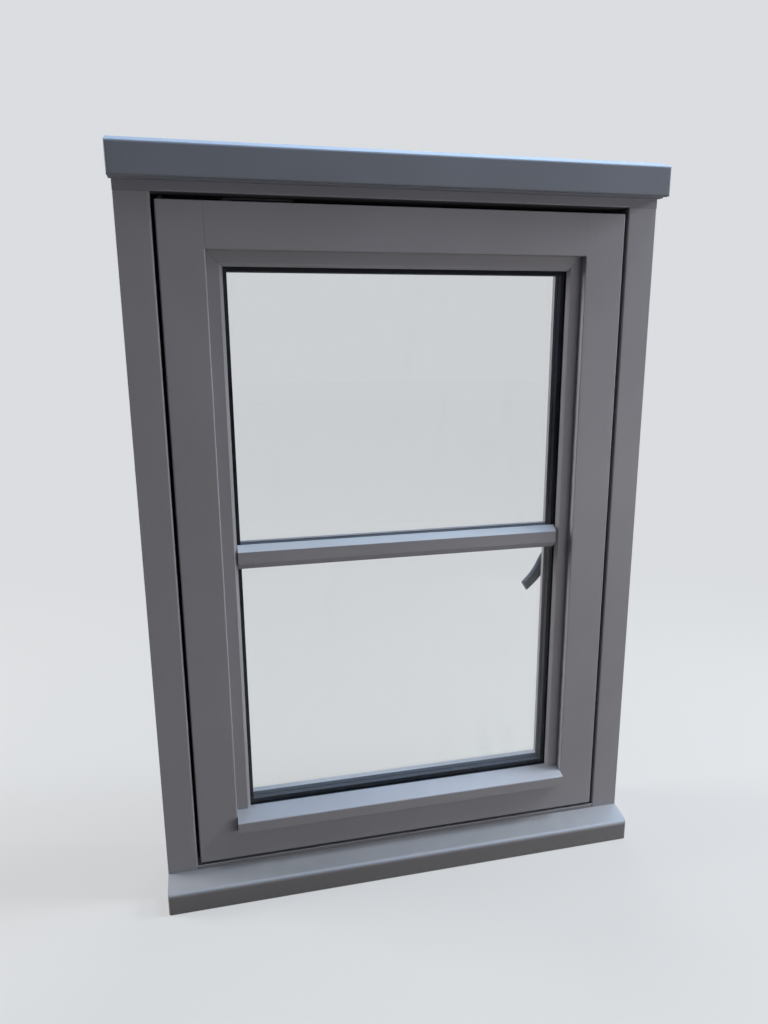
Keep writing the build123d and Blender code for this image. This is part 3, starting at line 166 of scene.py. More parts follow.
class Recipe:
    """The node tree of one material or world, with short ways to add to it."""

    def __init__(self, block: Union[Material, bpy.types.World]) -> None:
        """Empties the tree of a material or world.

        Args:
            block: The material or world.
        """
        self.block = block
        self.block.use_nodes = True
        self.tree = self.block.node_tree
        self.tree.nodes.clear()

    @classmethod
    def named(cls, name: str) -> "Recipe":
        """Starts an empty material of that name."""
        return cls(bpy.data.materials.new(name))

    def node(
        self, kind: str, settings: dict[str, Any], inputs: dict[Union[str, int], Any]
    ) -> bpy.types.Node:
        """Adds a node of any type.

        Args:
            kind: The node's type.
            settings: The node's own settings, which are set first.
            inputs: The values or links of its sockets, by name or number.

        Returns:
            The new node.
        """
        node = self.tree.nodes.new(kind)
        for name, value in settings.items():
            setattr(node, name, value)
        for name, value in inputs.items():
            socket = node.inputs[name]
            if isinstance(value, Field):
                self.tree.links.new(value.socket, socket)
            elif isinstance(value, Socket):
                self.tree.links.new(value, socket)
            elif socket.type == "RGBA":
                socket.default_value = (*value, 1.0)
            else:
                socket.default_value = value
        return node

    def point(self) -> Socket:
        """Gives the place on the object, in metres."""
        return self.node("ShaderNodeTexCoord", {}, {}).outputs["Object"]

    def parts(self, vector: Socket) -> tuple[Field, Field, Field]:
        """Splits a vector into its three values."""
        node = self.node("ShaderNodeSeparateXYZ", {}, {0: vector})
        return Field(self, node.outputs[0]), Field(self, node.outputs[1]), Field(self, node.outputs[2])

    def upward(self) -> Field:
        """Gives how far the surface faces up, from -1 to 1."""
        return self.parts(self.node("ShaderNodeNewGeometry", {}, {}).outputs["Normal"])[2]

    def seen_directly(self) -> Field:
        """Gives 1 where the camera sees the surface, straight or through glass, and 0 in other light."""
        rays = self.node("ShaderNodeLightPath", {}, {}).outputs
        straight, through = rays["Is Camera Ray"], rays["Is Transmission Ray"]
        return Field(self, straight).most(Field(self, through))

    def noise(
        self, scale: Union[float, Place], detail: float = 2.0, roughness: float = 0.5, warp: float = 0.0
    ) -> Field:
        """Adds a noise pattern about 0.5.

        Args:
            scale: How many features there are to a metre, the same every way or along each axis.
            detail: How many finer layers it has.
            roughness: How strong the finer layers are.
            warp: How much the pattern is distorted.

        Returns:
            The pattern's value.
        """
        each_way = scale if isinstance(scale, tuple) else (scale, scale, scale)
        place = self.node("ShaderNodeMapping", {}, {"Vector": self.point(), "Scale": each_way})
        inputs = {"Scale": 1.0, "Detail": detail, "Roughness": roughness, "Distortion": warp}
        node = self.node("ShaderNodeTexNoise", {}, {"Vector": place.outputs[0], **inputs})
        return Field(self, node.outputs["Fac"])

    def specks(self, scale: float, size: float) -> Field:
        """Adds sparse round specks.

        Args:
            scale: How many cells there are to a metre.
            size: A speck's radius as a share of its cell.

        Returns:
            1 in the middle of a speck and 0 outside.
        """
        node = self.node("ShaderNodeTexVoronoi", {}, {"Vector": self.point(), "Scale": scale})
        return Field(self, node.outputs["Distance"]).rise(size, size * 0.4)

    def mix(self, factor: Number, first: Any, second: Any) -> Socket:
        """Mixes two colours.

        Args:
            factor: 0 for the first, 1 for the second.
            first: A colour or a colour socket.
            second: A colour or a colour socket.

        Returns:
            The mixed colour.
        """
        node = self.node("ShaderNodeMix", {"data_type": "RGBA"}, {0: factor, 6: first, 7: second})
        return node.outputs[2]

    def bump(self, height: Field, distance: float, strength: float = 1.0) -> Socket:
        """Turns a height into a normal.

        Args:
            height: The height, 0 to 1.
            distance: How far 1 stands out, in metres.
            strength: How much of it shows.

        Returns:
            The normal.
        """
        inputs = {"Height": height, "Distance": distance, "Strength": strength}
        return self.node("ShaderNodeBump", {}, inputs).outputs[0]

    def shader(self, **inputs: Any) -> Socket:
        """Adds a Principled shader; an input's name is written with underscores for its spaces."""
        named = {name.replace("_", " "): value for name, value in inputs.items()}
        return self.node("ShaderNodeBsdfPrincipled", {}, named).outputs[0]

    def choose(self, factor: Any, first: Any, second: Any) -> Socket:
        """Adds a Mix Shader.

        Args:
            factor: 0 for the first shader, 1 for the second.
            first: A shader.
            second: A shader.

        Returns:
            The mixed shader.
        """
        return self.node("ShaderNodeMixShader", {}, {0: factor, 1: first, 2: second}).outputs[0]

    def background(self, colour: Any, strength: Number) -> Socket:
        """Adds a Background shader."""
        return self.node("ShaderNodeBackground", {}, {"Color": colour, "Strength": strength}).outputs[0]

    def done(self, surface: Socket) -> Material:
        """Ends the tree with its surface and gives the material."""
        self.node("ShaderNodeOutputMaterial", {}, {"Surface": surface})
        return self.block


# Finishes


DUST = shade(158, 157, 154)
# Brown-grey for upright faces outside: partly dirt, partly painted shade.
DIRT_AND_SHADE = shade(66, 60, 57)
# Pale blue painted on sloped tops: a painted reflection of the sky.
PAINTED_SKY_BLUE = shade(212, 221, 231)
SMEAR = shade(205, 208, 212)


class Finish(Protocol):
    """What every finish has: a name, and a way to make its material."""

    name: str

    def material(self) -> Material:
        """Makes the material."""


def scaled(colour: Colour, factor: float) -> Colour:
    """Makes a colour lighter or darker.

    Args:
        colour: The colour, in linear light.
        factor: What it is multiplied by.

    Returns:
        The new colour, no brighter than white.
    """
    return tuple(min(1.0, channel * factor) for channel in colour)


class Grain(Enum):
    """Which way a timber member's grain runs, as fibres to a metre along each axis."""

    LEVEL = (9.0, 420.0, 420.0)
    UPRIGHT = (420.0, 420.0, 9.0)


class Axis(Enum):
    """The axis that a butt joint's line is square to."""

    X = 0
    Z = 2


@dataclass(frozen=True)
class PaintLine:
    """A hairline in the paint where two members meet square.

    Attributes:
        axis: The axis that the line is square to.
        place: Where it is on that axis, in metres; on X it is on both sides of the middle.
    """

    axis: Axis
    place: float


@dataclass(frozen=True)
class Mitre:
    """A hairline in the paint where two beads meet in a mitre.

    Attributes:
        inner: The mitre's inner corner, as distance from the middle and height, in metres.
        outer: Its outer corner.
    """

    inner: tuple[float, float]
    outer: tuple[float, float]


@dataclass(frozen=True)
class SatinPaint:
    """Satin paint sprayed and brushed over planed timber.

    Attributes:
        name: The material's name.
        grain: Which way the timber's grain runs.
        lines: The butt joints that show as hairlines.
        mitre: The mitre that shows as a hairline.
        colour: The paint's colour.
        line_width: Half a hairline's width, in metres.
        dirt_and_shade: How much darker and browner its upright faces outside are than its level ones,
            partly dirt and partly painted shade.
        painted_sky_reflection: How much paler and bluer its sloped tops are painted, a painted reflection
            of the sky.
        sheen: How much light it mirrors.
        roughness: How matt it is at least.
        relief: How far its surface is uneven, in metres.
        outside: Where that darkening begins and where it is full, on y, in metres.
        upright: How far up a face looks where that darkening begins and where it is full.
        sloped: How far up a face looks where that painted sky reflection begins and where it is full.
    """

    name: str
    grain: Grain
    lines: tuple[PaintLine, ...] = ()
    mitre: Union[Mitre, None] = None
    colour: Colour = shade(128, 126, 131)
    line_width: float = 0.48 * MM
    dirt_and_shade: float = 0.0
    painted_sky_reflection: float = 0.0
    sheen: float = 0.5
    roughness: float = 0.36
    relief: float = 0.035 * MM
    outside: tuple[float, float] = (25.0 * MM, -5.0 * MM)
    upright: tuple[float, float] = (0.85, 0.35)
    sloped: tuple[float, float] = (0.3, 0.75)

    def joints(self, recipe: Recipe) -> Union[Field, None]:
        """Marks the hairlines of the joints.

        Args:
            recipe: The material being made.

        Returns:
            1 on a hairline and 0 off it, or None where the member has none.
        """
        place = recipe.parts(recipe.point())
        marks = []
        for line in self.lines:
            along = place[line.axis.value]
            away = abs(abs(along) - line.place) if line.axis is Axis.X else abs(along - line.place)
            marks.append(away.rise(self.line_width, 0.0))
        if self.mitre:
            run = self.mitre.outer[0] - self.mitre.inner[0]
            climb = self.mitre.outer[1] - self.mitre.inner[1]
            across = (abs(place[0]) - self.mitre.inner[0]) / run
            upward = (place[2] - self.mitre.inner[1]) / climb
            # A line that slants takes up about 1.4 times its width along z.
            width = 1.4 * self.line_width / abs(climb)
            marks.append(abs(across - upward).rise(width, 0.0))
        if not marks:
            return None
        worst = marks[0]
        for mark in marks[1:]:
            worst = worst.most(mark)
        return worst

    def material(self) -> Material:
        """Makes the material.

        Returns:
            The material.
        """
        recipe = Recipe.named(self.name)
        cloudy = recipe.noise(5.0, detail=3.0)
        fibres = recipe.noise(self.grain.value, detail=4.0, roughness=0.6, warp=0.3)
        peel = recipe.noise(620.0, detail=2.0)
        nibs = recipe.specks(90.0, 0.09)
        tone = recipe.mix(cloudy.rise(0.3, 0.7), scaled(self.colour, 0.955), scaled(self.colour, 1.035))
        tone = recipe.mix(fibres.rise(0.35, 0.75) * 0.22, tone, scaled(self.colour, 0.90))
        # Upright faces outside are darkened toward brown-grey: partly dirt, partly painted shade where less
        # light reaches them.
        if self.dirt_and_shade:
            outside = recipe.parts(recipe.point())[1].rise(*self.outside)
            upright = recipe.upward().rise(*self.upright)
            tone = recipe.mix(upright * outside * self.dirt_and_shade, tone, DIRT_AND_SHADE)
        # Sloped tops are painted paler and bluer: a painted reflection of the sky.
        if self.painted_sky_reflection:
            tone = recipe.mix(recipe.upward().rise(*self.sloped) * self.painted_sky_reflection, tone, PAINTED_SKY_BLUE)
        dust = recipe.upward().rise(0.2, 0.95) * recipe.noise(38.0, detail=5.0).rise(0.38, 0.75)
        tone = recipe.mix(dust * 0.10, tone, DUST)
        tone = recipe.mix(nibs * 0.25, tone, scaled(self.colour, 1.25))
        height = peel * 0.55 + fibres * 0.5 + nibs * 0.8
        lines = self.joints(recipe)
        if lines is not None:
            tone = recipe.mix(lines * 0.6, tone, scaled(self.colour, 0.25))
            height = height - lines * 3.0
        return recipe.done(
            recipe.shader(
                Base_Color=tone,
                Roughness=self.roughness + cloudy * 0.10 + dust * 0.06,
                Specular_IOR_Level=self.sheen,
                Normal=recipe.bump(height, self.relief, 0.8),
            )
        )


@dataclass(frozen=True)
class ClearGlass:
    """Float glass with faint smears and dust on it.

    The glass bends and mirrors what the camera sees through it. Light that falls through it onto
    the timber behind passes straight, so that the reveals are lit as they would be.

    Attributes:
        name: The material's name.
        tint: What it lets through.
        bending: Its index of refraction.
    """

    name: str = "clear_float_glass"
    tint: Colour = (0.990, 0.995, 0.993)
    bending: float = 1.5

    def material(self) -> Material:
        """Makes the material.

        Returns:
            The material.
        """
        recipe = Recipe.named(self.name)
        wiped = recipe.noise((14.0, 14.0, 5.0), detail=5.0, roughness=0.62, warp=1.2).rise(0.50, 0.78)
        streaks = recipe.noise((160.0, 160.0, 7.0), detail=3.0, warp=0.6).rise(0.50, 0.80)
        grit = recipe.specks(260.0, 0.10)
        film = wiped * 0.012 + wiped * streaks * 0.035 + grit * 0.03
        clear = recipe.shader(
            Base_Color=self.tint,
            Roughness=wiped * 0.006,
            IOR=self.bending,
            Transmission_Weight=1.0,
        )
        haze = recipe.shader(Base_Color=SMEAR, Roughness=0.8)
        surface = recipe.choose(film, clear, haze)
        through = recipe.node("ShaderNodeBsdfTransparent", {}, {"Color": self.tint}).outputs[0]
        rays = recipe.node("ShaderNodeLightPath", {}, {}).outputs
        indirect = Field(recipe, rays["Is Shadow Ray"])
        for kind in ("Is Diffuse Ray", "Is Glossy Ray"):
            indirect = indirect.most(Field(recipe, rays[kind]))
        indirect = indirect * (1.0 - Field(recipe, rays["Is Transmission Ray"]))
        return recipe.done(recipe.choose(indirect, surface, through))


@dataclass(frozen=True)
class Rubber:
    """A dark rubber, tape or mastic.

    Attributes:
        name: The material's name.
        colour: Its colour.
        roughness: How matt it is.
        lumpiness: How far its surface is uneven, in metres.
        sheen: How much light it mirrors.
    """

    name: str
    colour: Colour
    roughness: float = 0.6
    lumpiness: float = 0.05 * MM
    sheen: float = 0.5

    def material(self) -> Material:
        """Makes the material.

        Returns:
            The material.
        """
        recipe = Recipe.named(self.name)
        cloudy = recipe.noise(60.0, detail=4.0)
        fine = recipe.noise(900.0, detail=2.0)
        tone = recipe.mix(cloudy.rise(0.3, 0.7), scaled(self.colour, 0.75), scaled(self.colour, 1.35))
        return recipe.done(
            recipe.shader(
                Base_Color=tone,
                Roughness=self.roughness - 0.05 + cloudy * 0.15,
                Specular_IOR_Level=self.sheen,
                Normal=recipe.bump(cloudy * 0.6 + fine * 0.4, self.lumpiness),
            )
        )


@dataclass(frozen=True)
class Steel:
    """Plated, pressed or stainless steel.

    Attributes:
        name: The material's name.
        colour: Its colour.
        brushed: How many scratches there are to a metre, along each axis.
        roughness: How matt it is.
    """

    name: str
    colour: Colour
    brushed: Place
    roughness: float = 0.32

    def material(self) -> Material:
        """Makes the material.

        Returns:
            The material.
        """
        recipe = Recipe.named(self.name)
        scratches = recipe.noise(self.brushed, detail=4.0, roughness=0.7)
        stains = recipe.noise(45.0, detail=4.0).rise(0.40, 0.75)
        tone = recipe.mix(stains * 0.35, self.colour, scaled(self.colour, 0.72))
        return recipe.done(
            recipe.shader(
                Base_Color=tone,
                Metallic=1.0,
                Roughness=self.roughness + scratches * 0.14 + stains * 0.10,
                Normal=recipe.bump(scratches, 0.02 * MM, 0.7),
            )
        )


@dataclass(frozen=True)
class PowderCoat:
    """Dark coating on the handle, with a fine fleck.

    Attributes:
        name: The material's name.
        colour: Its colour.
        fleck: The fleck's colour.
    """

    name: str
    colour: Colour
    fleck: Colour

    def material(self) -> Material:
        """Makes the material.

        Returns:
            The material.
        """
        recipe = Recipe.named(self.name)
        grains = recipe.noise(2600.0, detail=1.0)
        cloudy = recipe.noise(70.0, detail=3.0)
        tone = recipe.mix(grains.rise(0.50, 0.78) * 0.6, self.colour, self.fleck)
        return recipe.done(
            recipe.shader(
                Base_Color=tone,
                Metallic=0.15,
                Roughness=0.30 + cloudy * 0.12,
                Coat_Weight=0.35,
                Coat_Roughness=0.22,
                Normal=recipe.bump(grains, 0.02 * MM, 0.6),
            )
        )


@dataclass(frozen=True)
class Moulding:
    """Moulded plastic with a fine spark texture.

    Attributes:
        name: The material's name.
        colour: Its colour.
    """

    name: str
    colour: Colour

    def material(self) -> Material:
        """Makes the material.

        Returns:
            The material.
        """
        recipe = Recipe.named(self.name)
        spark = recipe.noise(1800.0, detail=2.0)
        cloudy = recipe.noise(80.0, detail=3.0)
        tone = recipe.mix(cloudy.rise(0.3, 0.7), scaled(self.colour, 0.88), scaled(self.colour, 1.10))
        return recipe.done(
            recipe.shader(
                Base_Color=tone,
                Roughness=0.42 + cloudy * 0.14,
                Normal=recipe.bump(spark, 0.03 * MM, 0.7),
            )
        )


# Modelling tools


class Merge(Enum):
    """What a boolean does with the second piece."""

    ADD = "UNION"
    CUT = "DIFFERENCE"


def clear_selection() -> None:
    """Leaves edit mode and deselects every object."""
    if bpy.context.object and bpy.context.object.mode != "OBJECT":
        bpy.ops.object.mode_set(mode="OBJECT")
    bpy.ops.object.select_all(action="DESELECT")


def work_on(piece: Piece) -> None:
    """Makes one object the selected and active one.

    Args:
        piece: The object.
    """
    clear_selection()
    piece.select_set(True)
    bpy.context.view_layer.objects.active = piece


def settle(piece: Piece) -> None:
    """Puts a piece's place, turn and size into its mesh."""
    work_on(piece)
    bpy.ops.object.transform_apply(location=True, rotation=True, scale=True)


def pick_faces(piece: Piece, wanted: Callable[[bpy.types.MeshPolygon], bool]) -> None:
    """Selects faces in edit mode by their place or normal, and nothing else.

    Args:
        piece: The object, which is the active one and in edit mode.
        wanted: Says whether a face is selected.
    """
    bpy.ops.mesh.select_mode(type="FACE")
    bpy.ops.mesh.select_all(action="DESELECT")
    bpy.ops.object.mode_set(mode="OBJECT")
    for face in piece.data.polygons:
        face.select = wanted(face)
    bpy.ops.object.mode_set(mode="EDIT")


def faces_down(face: bpy.types.MeshPolygon) -> bool:
    """Says whether a face looks straight down, or nearly."""
    return face.normal.z < -0.9


def extrude(step: Sequence[float]) -> None:
    """Extrudes what is selected in edit mode by a step, in metres."""
    bpy.ops.mesh.extrude_region_move(TRANSFORM_OT_translate={"value": tuple(step)})


def face_outwards() -> None:
    """Turns all faces of the piece in edit mode outwards, and leaves edit mode."""
    bpy.ops.mesh.select_all(action="SELECT")
    bpy.ops.mesh.normals_make_consistent(inside=False)
    bpy.ops.object.mode_set(mode="OBJECT")


def combine(piece: Piece, other: Piece, merge: Merge) -> None:
    """Adds a boolean modifier to a piece.

    Args:
        piece: The piece that stays.
        other: The piece that is added to it or cut out of it.
        merge: Which of the two.
    """
    boolean = piece.modifiers.new("Boolean", "BOOLEAN")
    boolean.operation = merge.value
    boolean.solver = "EXACT"
    boolean.object = other


def soften(piece: Piece, width: float, segments: int, degrees: float) -> None:
    """Adds a bevel modifier for the piece's sharp edges.

    Args:
        piece: The piece.
        width: The bevel's width, in metres.
        segments: How many facets it has.
        degrees: The angle from which an edge is sharp.
    """
    arris = piece.modifiers.new("Arris", "BEVEL")
    arris.width = width
    arris.segments = segments
    arris.limit_method = "ANGLE"
    arris.angle_limit = math.radians(degrees)


def apply_modifiers(piece: Piece) -> None:
    """Applies each modifier of a piece, in order.

    Args:
        piece: The piece.
    """
    work_on(piece)
    for modifier in list(piece.modifiers):
        bpy.ops.object.modifier_apply(modifier=modifier.name)


def shade_smooth(piece: Piece, degrees: float) -> None:
    """Shades a piece smooth between edges that are sharper than an angle."""
    work_on(piece)
    bpy.ops.object.shade_smooth_by_angle(angle=math.radians(degrees))


def join(pieces: Sequence[Piece], name: str) -> Piece:
    """Joins objects into one.

    Args:
        pieces: The objects.
        name: The joined object's name.

    Returns:
        The joined object.
    """
    clear_selection()
    for piece in pieces:
        piece.select_set(True)
    bpy.context.view_layer.objects.active = pieces[0]
    bpy.ops.object.join()
    joined = bpy.context.view_layer.objects.active
    joined.name = name
    joined.data.name = name
    return joined


def coat_all(piece: Piece, material: Material) -> None:
    """Gives a piece one material."""
    piece.data.materials.clear()
    piece.data.materials.append(material)


# Sub-assemblies


@dataclass
class Fasteners:
    """The countersunk screws, with a cross recess in each head.

    The screw's own sizes are in metres. The places of the holes are in millimetres.

    Attributes:
        head_radius: The head's radius.
        rim: The height of the head's upright edge.
        head_depth: The height of the head, its edge and its cone.
        shank_radius: The radius of the shank below the head.
        length: The length of the whole screw.
        point: The length of its point.
        blunt: The point's end, as a share of what it starts from.
        rings: How many steps the thread takes.
        root: The thread's root, as a share of its crest.
        recess_width: The width of the recess's arms.
        recess_reach: How far the arms reach from the middle.
        recess_depth: How deep they go.
        recess_foot: The foot of an arm, as shares of its length and its width.
        arris: The bevel on the screw's edges.
        sides: How many sides its rounds have.
        stay_line: The line of the stays' screws, on y.
        lock_line: The line of the lock's screws, on y.
        track_holes: The holes along a stay's track, on x.
        track_seats: The faces of the bottom and the top track, on z.
        plate_holes: The holes along a stay's plate, on x.
        plate_seats: The faces of the bottom and the top plate, on z.
        keep_holes: The holes in the keeps, on z.
        keep_seat: The keeps' face, on x.
        faceplate_holes: The holes in the lock's faceplate, on z.
        faceplate_seat: The faceplate's face, on x.
        rose_holes: The holes in the handle's rose, on z.
        rose_seat: The rose's middle line on x, and its face on y.
        turn: How far a screw is turned past the one before, in degrees.
    """

    head_radius: float = 3.4 * MM
    rim: float = 0.4 * MM
    head_depth: float = 1.7 * MM
    shank_radius: float = 1.7 * MM
    length: float = 16.0 * MM
    point: float = 3.0 * MM
    blunt: float = 0.12
    rings: int = 9
    root: float = 0.86
    recess_width: float = 0.9 * MM
    recess_reach: float = 1.75 * MM
    recess_depth: float = 1.25 * MM
    recess_foot: tuple[float, float] = (0.55, 0.6)
    arris: float = 0.08 * MM
    sides: int = 32
    stay_line: float = 28.0
    lock_line: float = 36.0
    track_holes: Place = (-117.0, -143.0, -269.4)
    track_seats: tuple[float, float] = (36.6, 855.0)
    plate_holes: Place = (-173.0, -185.0, -255.0)
    plate_seats: tuple[float, float] = (43.2, 844.8)
    keep_holes: tuple[float, ...] = (235.0, 283.0, 625.0, 673.0)
    keep_seat: float = 275.5
    faceplate_holes: tuple[float, float] = (182.0, 708.0)
    faceplate_seat: float = 265.0
    rose_holes: tuple[float, float] = (380.5, 423.5)
    rose_seat: tuple[float, float] = (243.0, 61.5)
    turn: float = 37.0

    def cutter(self) -> Piece:
        """Models the cross that is cut into a head.

        Returns:
            The cross, with its top above the head.
        """
        arms = []
        for turn in (0.0, math.pi / 2):
            clear_selection()
            bpy.ops.mesh.primitive_cube_add(size=1.0, location=(0.0, 0.0, 0.0))
            arm = bpy.context.object
            arm.scale = (2 * self.recess_reach, self.recess_width, 2 * self.recess_depth)
            settle(arm)
            bpy.ops.object.mode_set(mode="EDIT")
            pick_faces(arm, faces_down)
            bpy.ops.transform.resize(value=(*self.recess_foot, 1.0))
            bpy.ops.object.mode_set(mode="OBJECT")
            arm.rotation_euler = (0.0, 0.0, turn)
            settle(arm)
            arms.append(arm)
        first, second = arms
        combine(first, second, Merge.ADD)
        apply_modifiers(first)
        bpy.data.objects.remove(second)
        return first

    def model(self) -> Piece:
        """Models one screw, its head's face at the origin and its shank down.

        Returns:
            The screw.
        """
        clear_selection()
        bpy.ops.mesh.primitive_cylinder_add(
            vertices=self.sides, radius=self.head_radius, depth=self.rim, location=(0.0, 0.0, -self.rim / 2)
        )
        screw = bpy.context.object
        screw.name = "screw_pattern"
        settle(screw)
        bpy.ops.object.mode_set(mode="EDIT")
        pick_faces(screw, faces_down)
        extrude((0.0, 0.0, self.rim - self.head_depth))
        ratio = self.shank_radius / self.head_radius
        bpy.ops.transform.resize(value=(ratio, ratio, 1.0))
        shank = self.length - self.head_depth - self.point
        for ring in range(self.rings):
            swell = self.root if ring % 2 == 0 else 1.0 / self.root
            extrude((0.0, 0.0, -shank / self.rings))
            bpy.ops.transform.resize(value=(swell, swell, 1.0))
        extrude((0.0, 0.0, -self.point))
        bpy.ops.transform.resize(value=(self.blunt, self.blunt, 1.0))
        bpy.ops.object.mode_set(mode="OBJECT")
        cross = self.cutter()
        combine(screw, cross, Merge.CUT)
        soften(screw, self.arris, segments=2, degrees=50)
        apply_modifiers(screw)
        bpy.data.objects.remove(cross)
        shade_smooth(screw, 35)
        return screw

    def holes(self) -> dict[str, list[tuple[Place, Place]]]:
        """Finds where the screws sit.

        Returns:
            By CAD node, each head's centre in millimetres and the direction it faces.
        """
        up, down = (0.0, 0.0, 1.0), (0.0, 0.0, -1.0)
        bottom, top = self.track_seats
        tracks = []
        for x in self.track_holes:
            tracks += [((x, self.stay_line, top), down), ((x, self.stay_line, bottom), up)]
        bottom, top = self.plate_seats
        plates = []
        for x in self.plate_holes:
            plates += [((x, self.stay_line, top), up), ((x, self.stay_line, bottom), down)]
        keeps = [((self.keep_seat, self.lock_line, z), (-1.0, 0.0, 0.0)) for z in self.keep_holes]
        faceplate = [
            ((self.faceplate_seat, self.lock_line, z), (1.0, 0.0, 0.0)) for z in self.faceplate_holes
        ]
        rose = [((*self.rose_seat, z), (0.0, 1.0, 0.0)) for z in self.rose_holes]
        return {
            "track_screws": tracks,
            "keep_screws": keeps,
            "plate_screws": plates,
            "faceplate_screws": faceplate,
            "handle_screws": rose,
        }

    def group(self, screw: Piece, name: str, places: Iterable[tuple[Place, Place]]) -> Piece:
        """Sets copies of the screw in their holes.

        Args:
            screw: The screw that is copied.
            name: The CAD node that the group stands for.
            places: Each head's centre in millimetres, and the direction it faces.

        Returns:
            The group.
        """
        copies = []
        for count, (centre, facing) in enumerate(places):
            copy = screw.copy()
            copy.data = screw.data.copy()
            bpy.context.scene.collection.objects.link(copy)
            turn = Matrix.Rotation(math.radians(self.turn * count % 90.0), 4, "Z")
            lean = UP.rotation_difference(Vector(facing)).to_matrix().to_4x4()
            copy.matrix_world = Matrix.Translation(Vector(centre) * MM) @ lean @ turn
            settle(copy)
            copies.append(copy)
        return join(copies, "detailed_" + name)

    def build(self, steel: Material) -> None:
        """Makes and dresses every group of screws.

        Args:
            steel: The screws' finish.
        """
        screw = self.model()
        for name, places in self.holes().items():
            piece = self.group(screw, name, places)
            body = "frame" if name in ("track_screws", "keep_screws") else "sash"
            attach(piece, body)
            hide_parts(name)
            coat_all(piece, steel)
            LOG.info("%s: %d screws", piece.name, len(places))
        bpy.data.objects.remove(screw)


@dataclass
class Lever:
    """The handle's cranked lever: a turned hub and a blade that bends down from it.

    Attributes:
        centre: The spindle's axis, as x and z, in millimetres, like the rest.
        hub: The hub's rings from the rose outward, as place on y and radius.
        blade: The blade's middle line from hub to tip, as x, z and width.
        depth: The middle of the blade on y, and its thickness beside the hub.
        rounding: How round the blade's cross-section is.
        tip_lean: How far the blunt end leans from square, in degrees.
        arris: The bevel on the lever's edges.
        hub_sides: How many sides the hub has.
        corner_steps: How many facets a corner of the cross-section has.
    """

    centre: tuple[float, float] = (243.0, 402.0)
    hub: tuple[tuple[float, float], ...] = (
        (57.4, 7.0), (65.6, 7.0), (66.4, 8.6), (68.0, 8.8), (72.0, 7.6), (78.0, 7.4), (82.0, 8.6),
        (84.0, 9.3), (90.5, 9.4), (92.6, 8.6), (93.6, 6.8), (93.95, 4.0),
    )
    blade: tuple[Place, ...] = (
        (241.0, 401.3, 16.8), (236.5, 399.4, 16.8), (232.0, 396.0, 16.8), (228.3, 391.4, 16.6),
        (225.4, 386.4, 16.4), (222.6, 381.0, 16.0), (219.5, 375.6, 15.6), (215.9, 370.4, 15.2),
        (211.8, 365.1, 14.8), (207.0, 360.0, 14.4), (201.6, 354.8, 14.1), (197.7, 351.2, 13.9),
    )
    depth: tuple[float, float] = (88.3, 10.6)
    rounding: float = 4.2
    tip_lean: float = -12.0
    arris: float = 0.45
    hub_sides: int = 48
    corner_steps: int = 6

    def turned_hub(self) -> Piece:
        """Models the hub ring by ring along its axis.

        Returns:
            The hub.
        """
        clear_selection()
        first, radius = self.hub[0]
        place = Vector((self.centre[0], first, self.centre[1])) * MM
        bpy.ops.mesh.primitive_circle_add(
            vertices=self.hub_sides,
            radius=radius * MM,
            fill_type="NGON",
            location=place,
            rotation=(math.pi / 2, 0.0, 0.0),
        )
        hub = bpy.context.object
        settle(hub)
        bpy.ops.object.mode_set(mode="EDIT")
        bpy.ops.mesh.select_all(action="SELECT")
        for (low, old), (high, new) in zip(self.hub, self.hub[1:]):
            place.y = high * MM
            extrude((0.0, (high - low) * MM, 0.0))
            bpy.ops.transform.resize(value=(new / old,) * 3, center_override=place)
        face_outwards()
        return hub

    def swept_blade(self) -> Piece:
        """Models the blade as a rounded section led along the bent middle line.

        Returns:
            The blade.
        """
        middle = [Vector((x, self.depth[0], z)) * MM for x, z, _ in self.blade]
        width = [size for _, _, size in self.blade]
        steps = [second - first for first, second in zip(middle, middle[1:])]
        ways = [math.atan2(step.z, step.x) for step in steps]
        leans = [ways[0]] + [(low + high) / 2 for low, high in zip(ways, ways[1:])]
        leans.append(ways[-1] + math.radians(self.tip_lean))
        clear_selection()
        bpy.ops.mesh.primitive_plane_add(
            size=1.0, location=middle[0], rotation=(0.0, math.pi / 2 - leans[0], 0.0)
        )
        blade = bpy.context.object
        blade.scale = (width[0] * MM, self.depth[1] * MM, 1.0)
        settle(blade)
        bpy.ops.object.mode_set(mode="EDIT")
        bpy.ops.mesh.select_all(action="SELECT")
        bpy.ops.mesh.bevel(offset=self.rounding * MM, segments=self.corner_steps, affect="VERTICES")
        bpy.ops.mesh.select_all(action="SELECT")
        for count, step in enumerate(steps):
            at = middle[count + 1]
            extrude(step)
            turn = leans[count + 1] - leans[count]
            bpy.ops.transform.rotate(value=turn, orient_axis="Y", center_override=at)
            ratio = width[count + 1] / width[count]
            bpy.ops.transform.resize(value=(ratio, ratio, ratio), center_override=at)
        face_outwards()
        return blade

    def build(self, coat: Material) -> None:
        """Makes and dresses the lever.

        Args:
            coat: The handle's finish.
        """
        lever, blade = self.turned_hub(), self.swept_blade()
        combine(lever, blade, Merge.ADD)
        soften(lever, self.arris * MM, segments=3, degrees=38)
        apply_modifiers(lever)
        bpy.data.objects.remove(blade)
        lever.name = lever.data.name = "detailed_handle_lever"
        shade_smooth(lever, 40)
        coat_all(lever, coat)
        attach(lever, "handle")
        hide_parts("handle_lever")
        LOG.info("%s: %d faces", lever.name, len(lever.data.polygons))


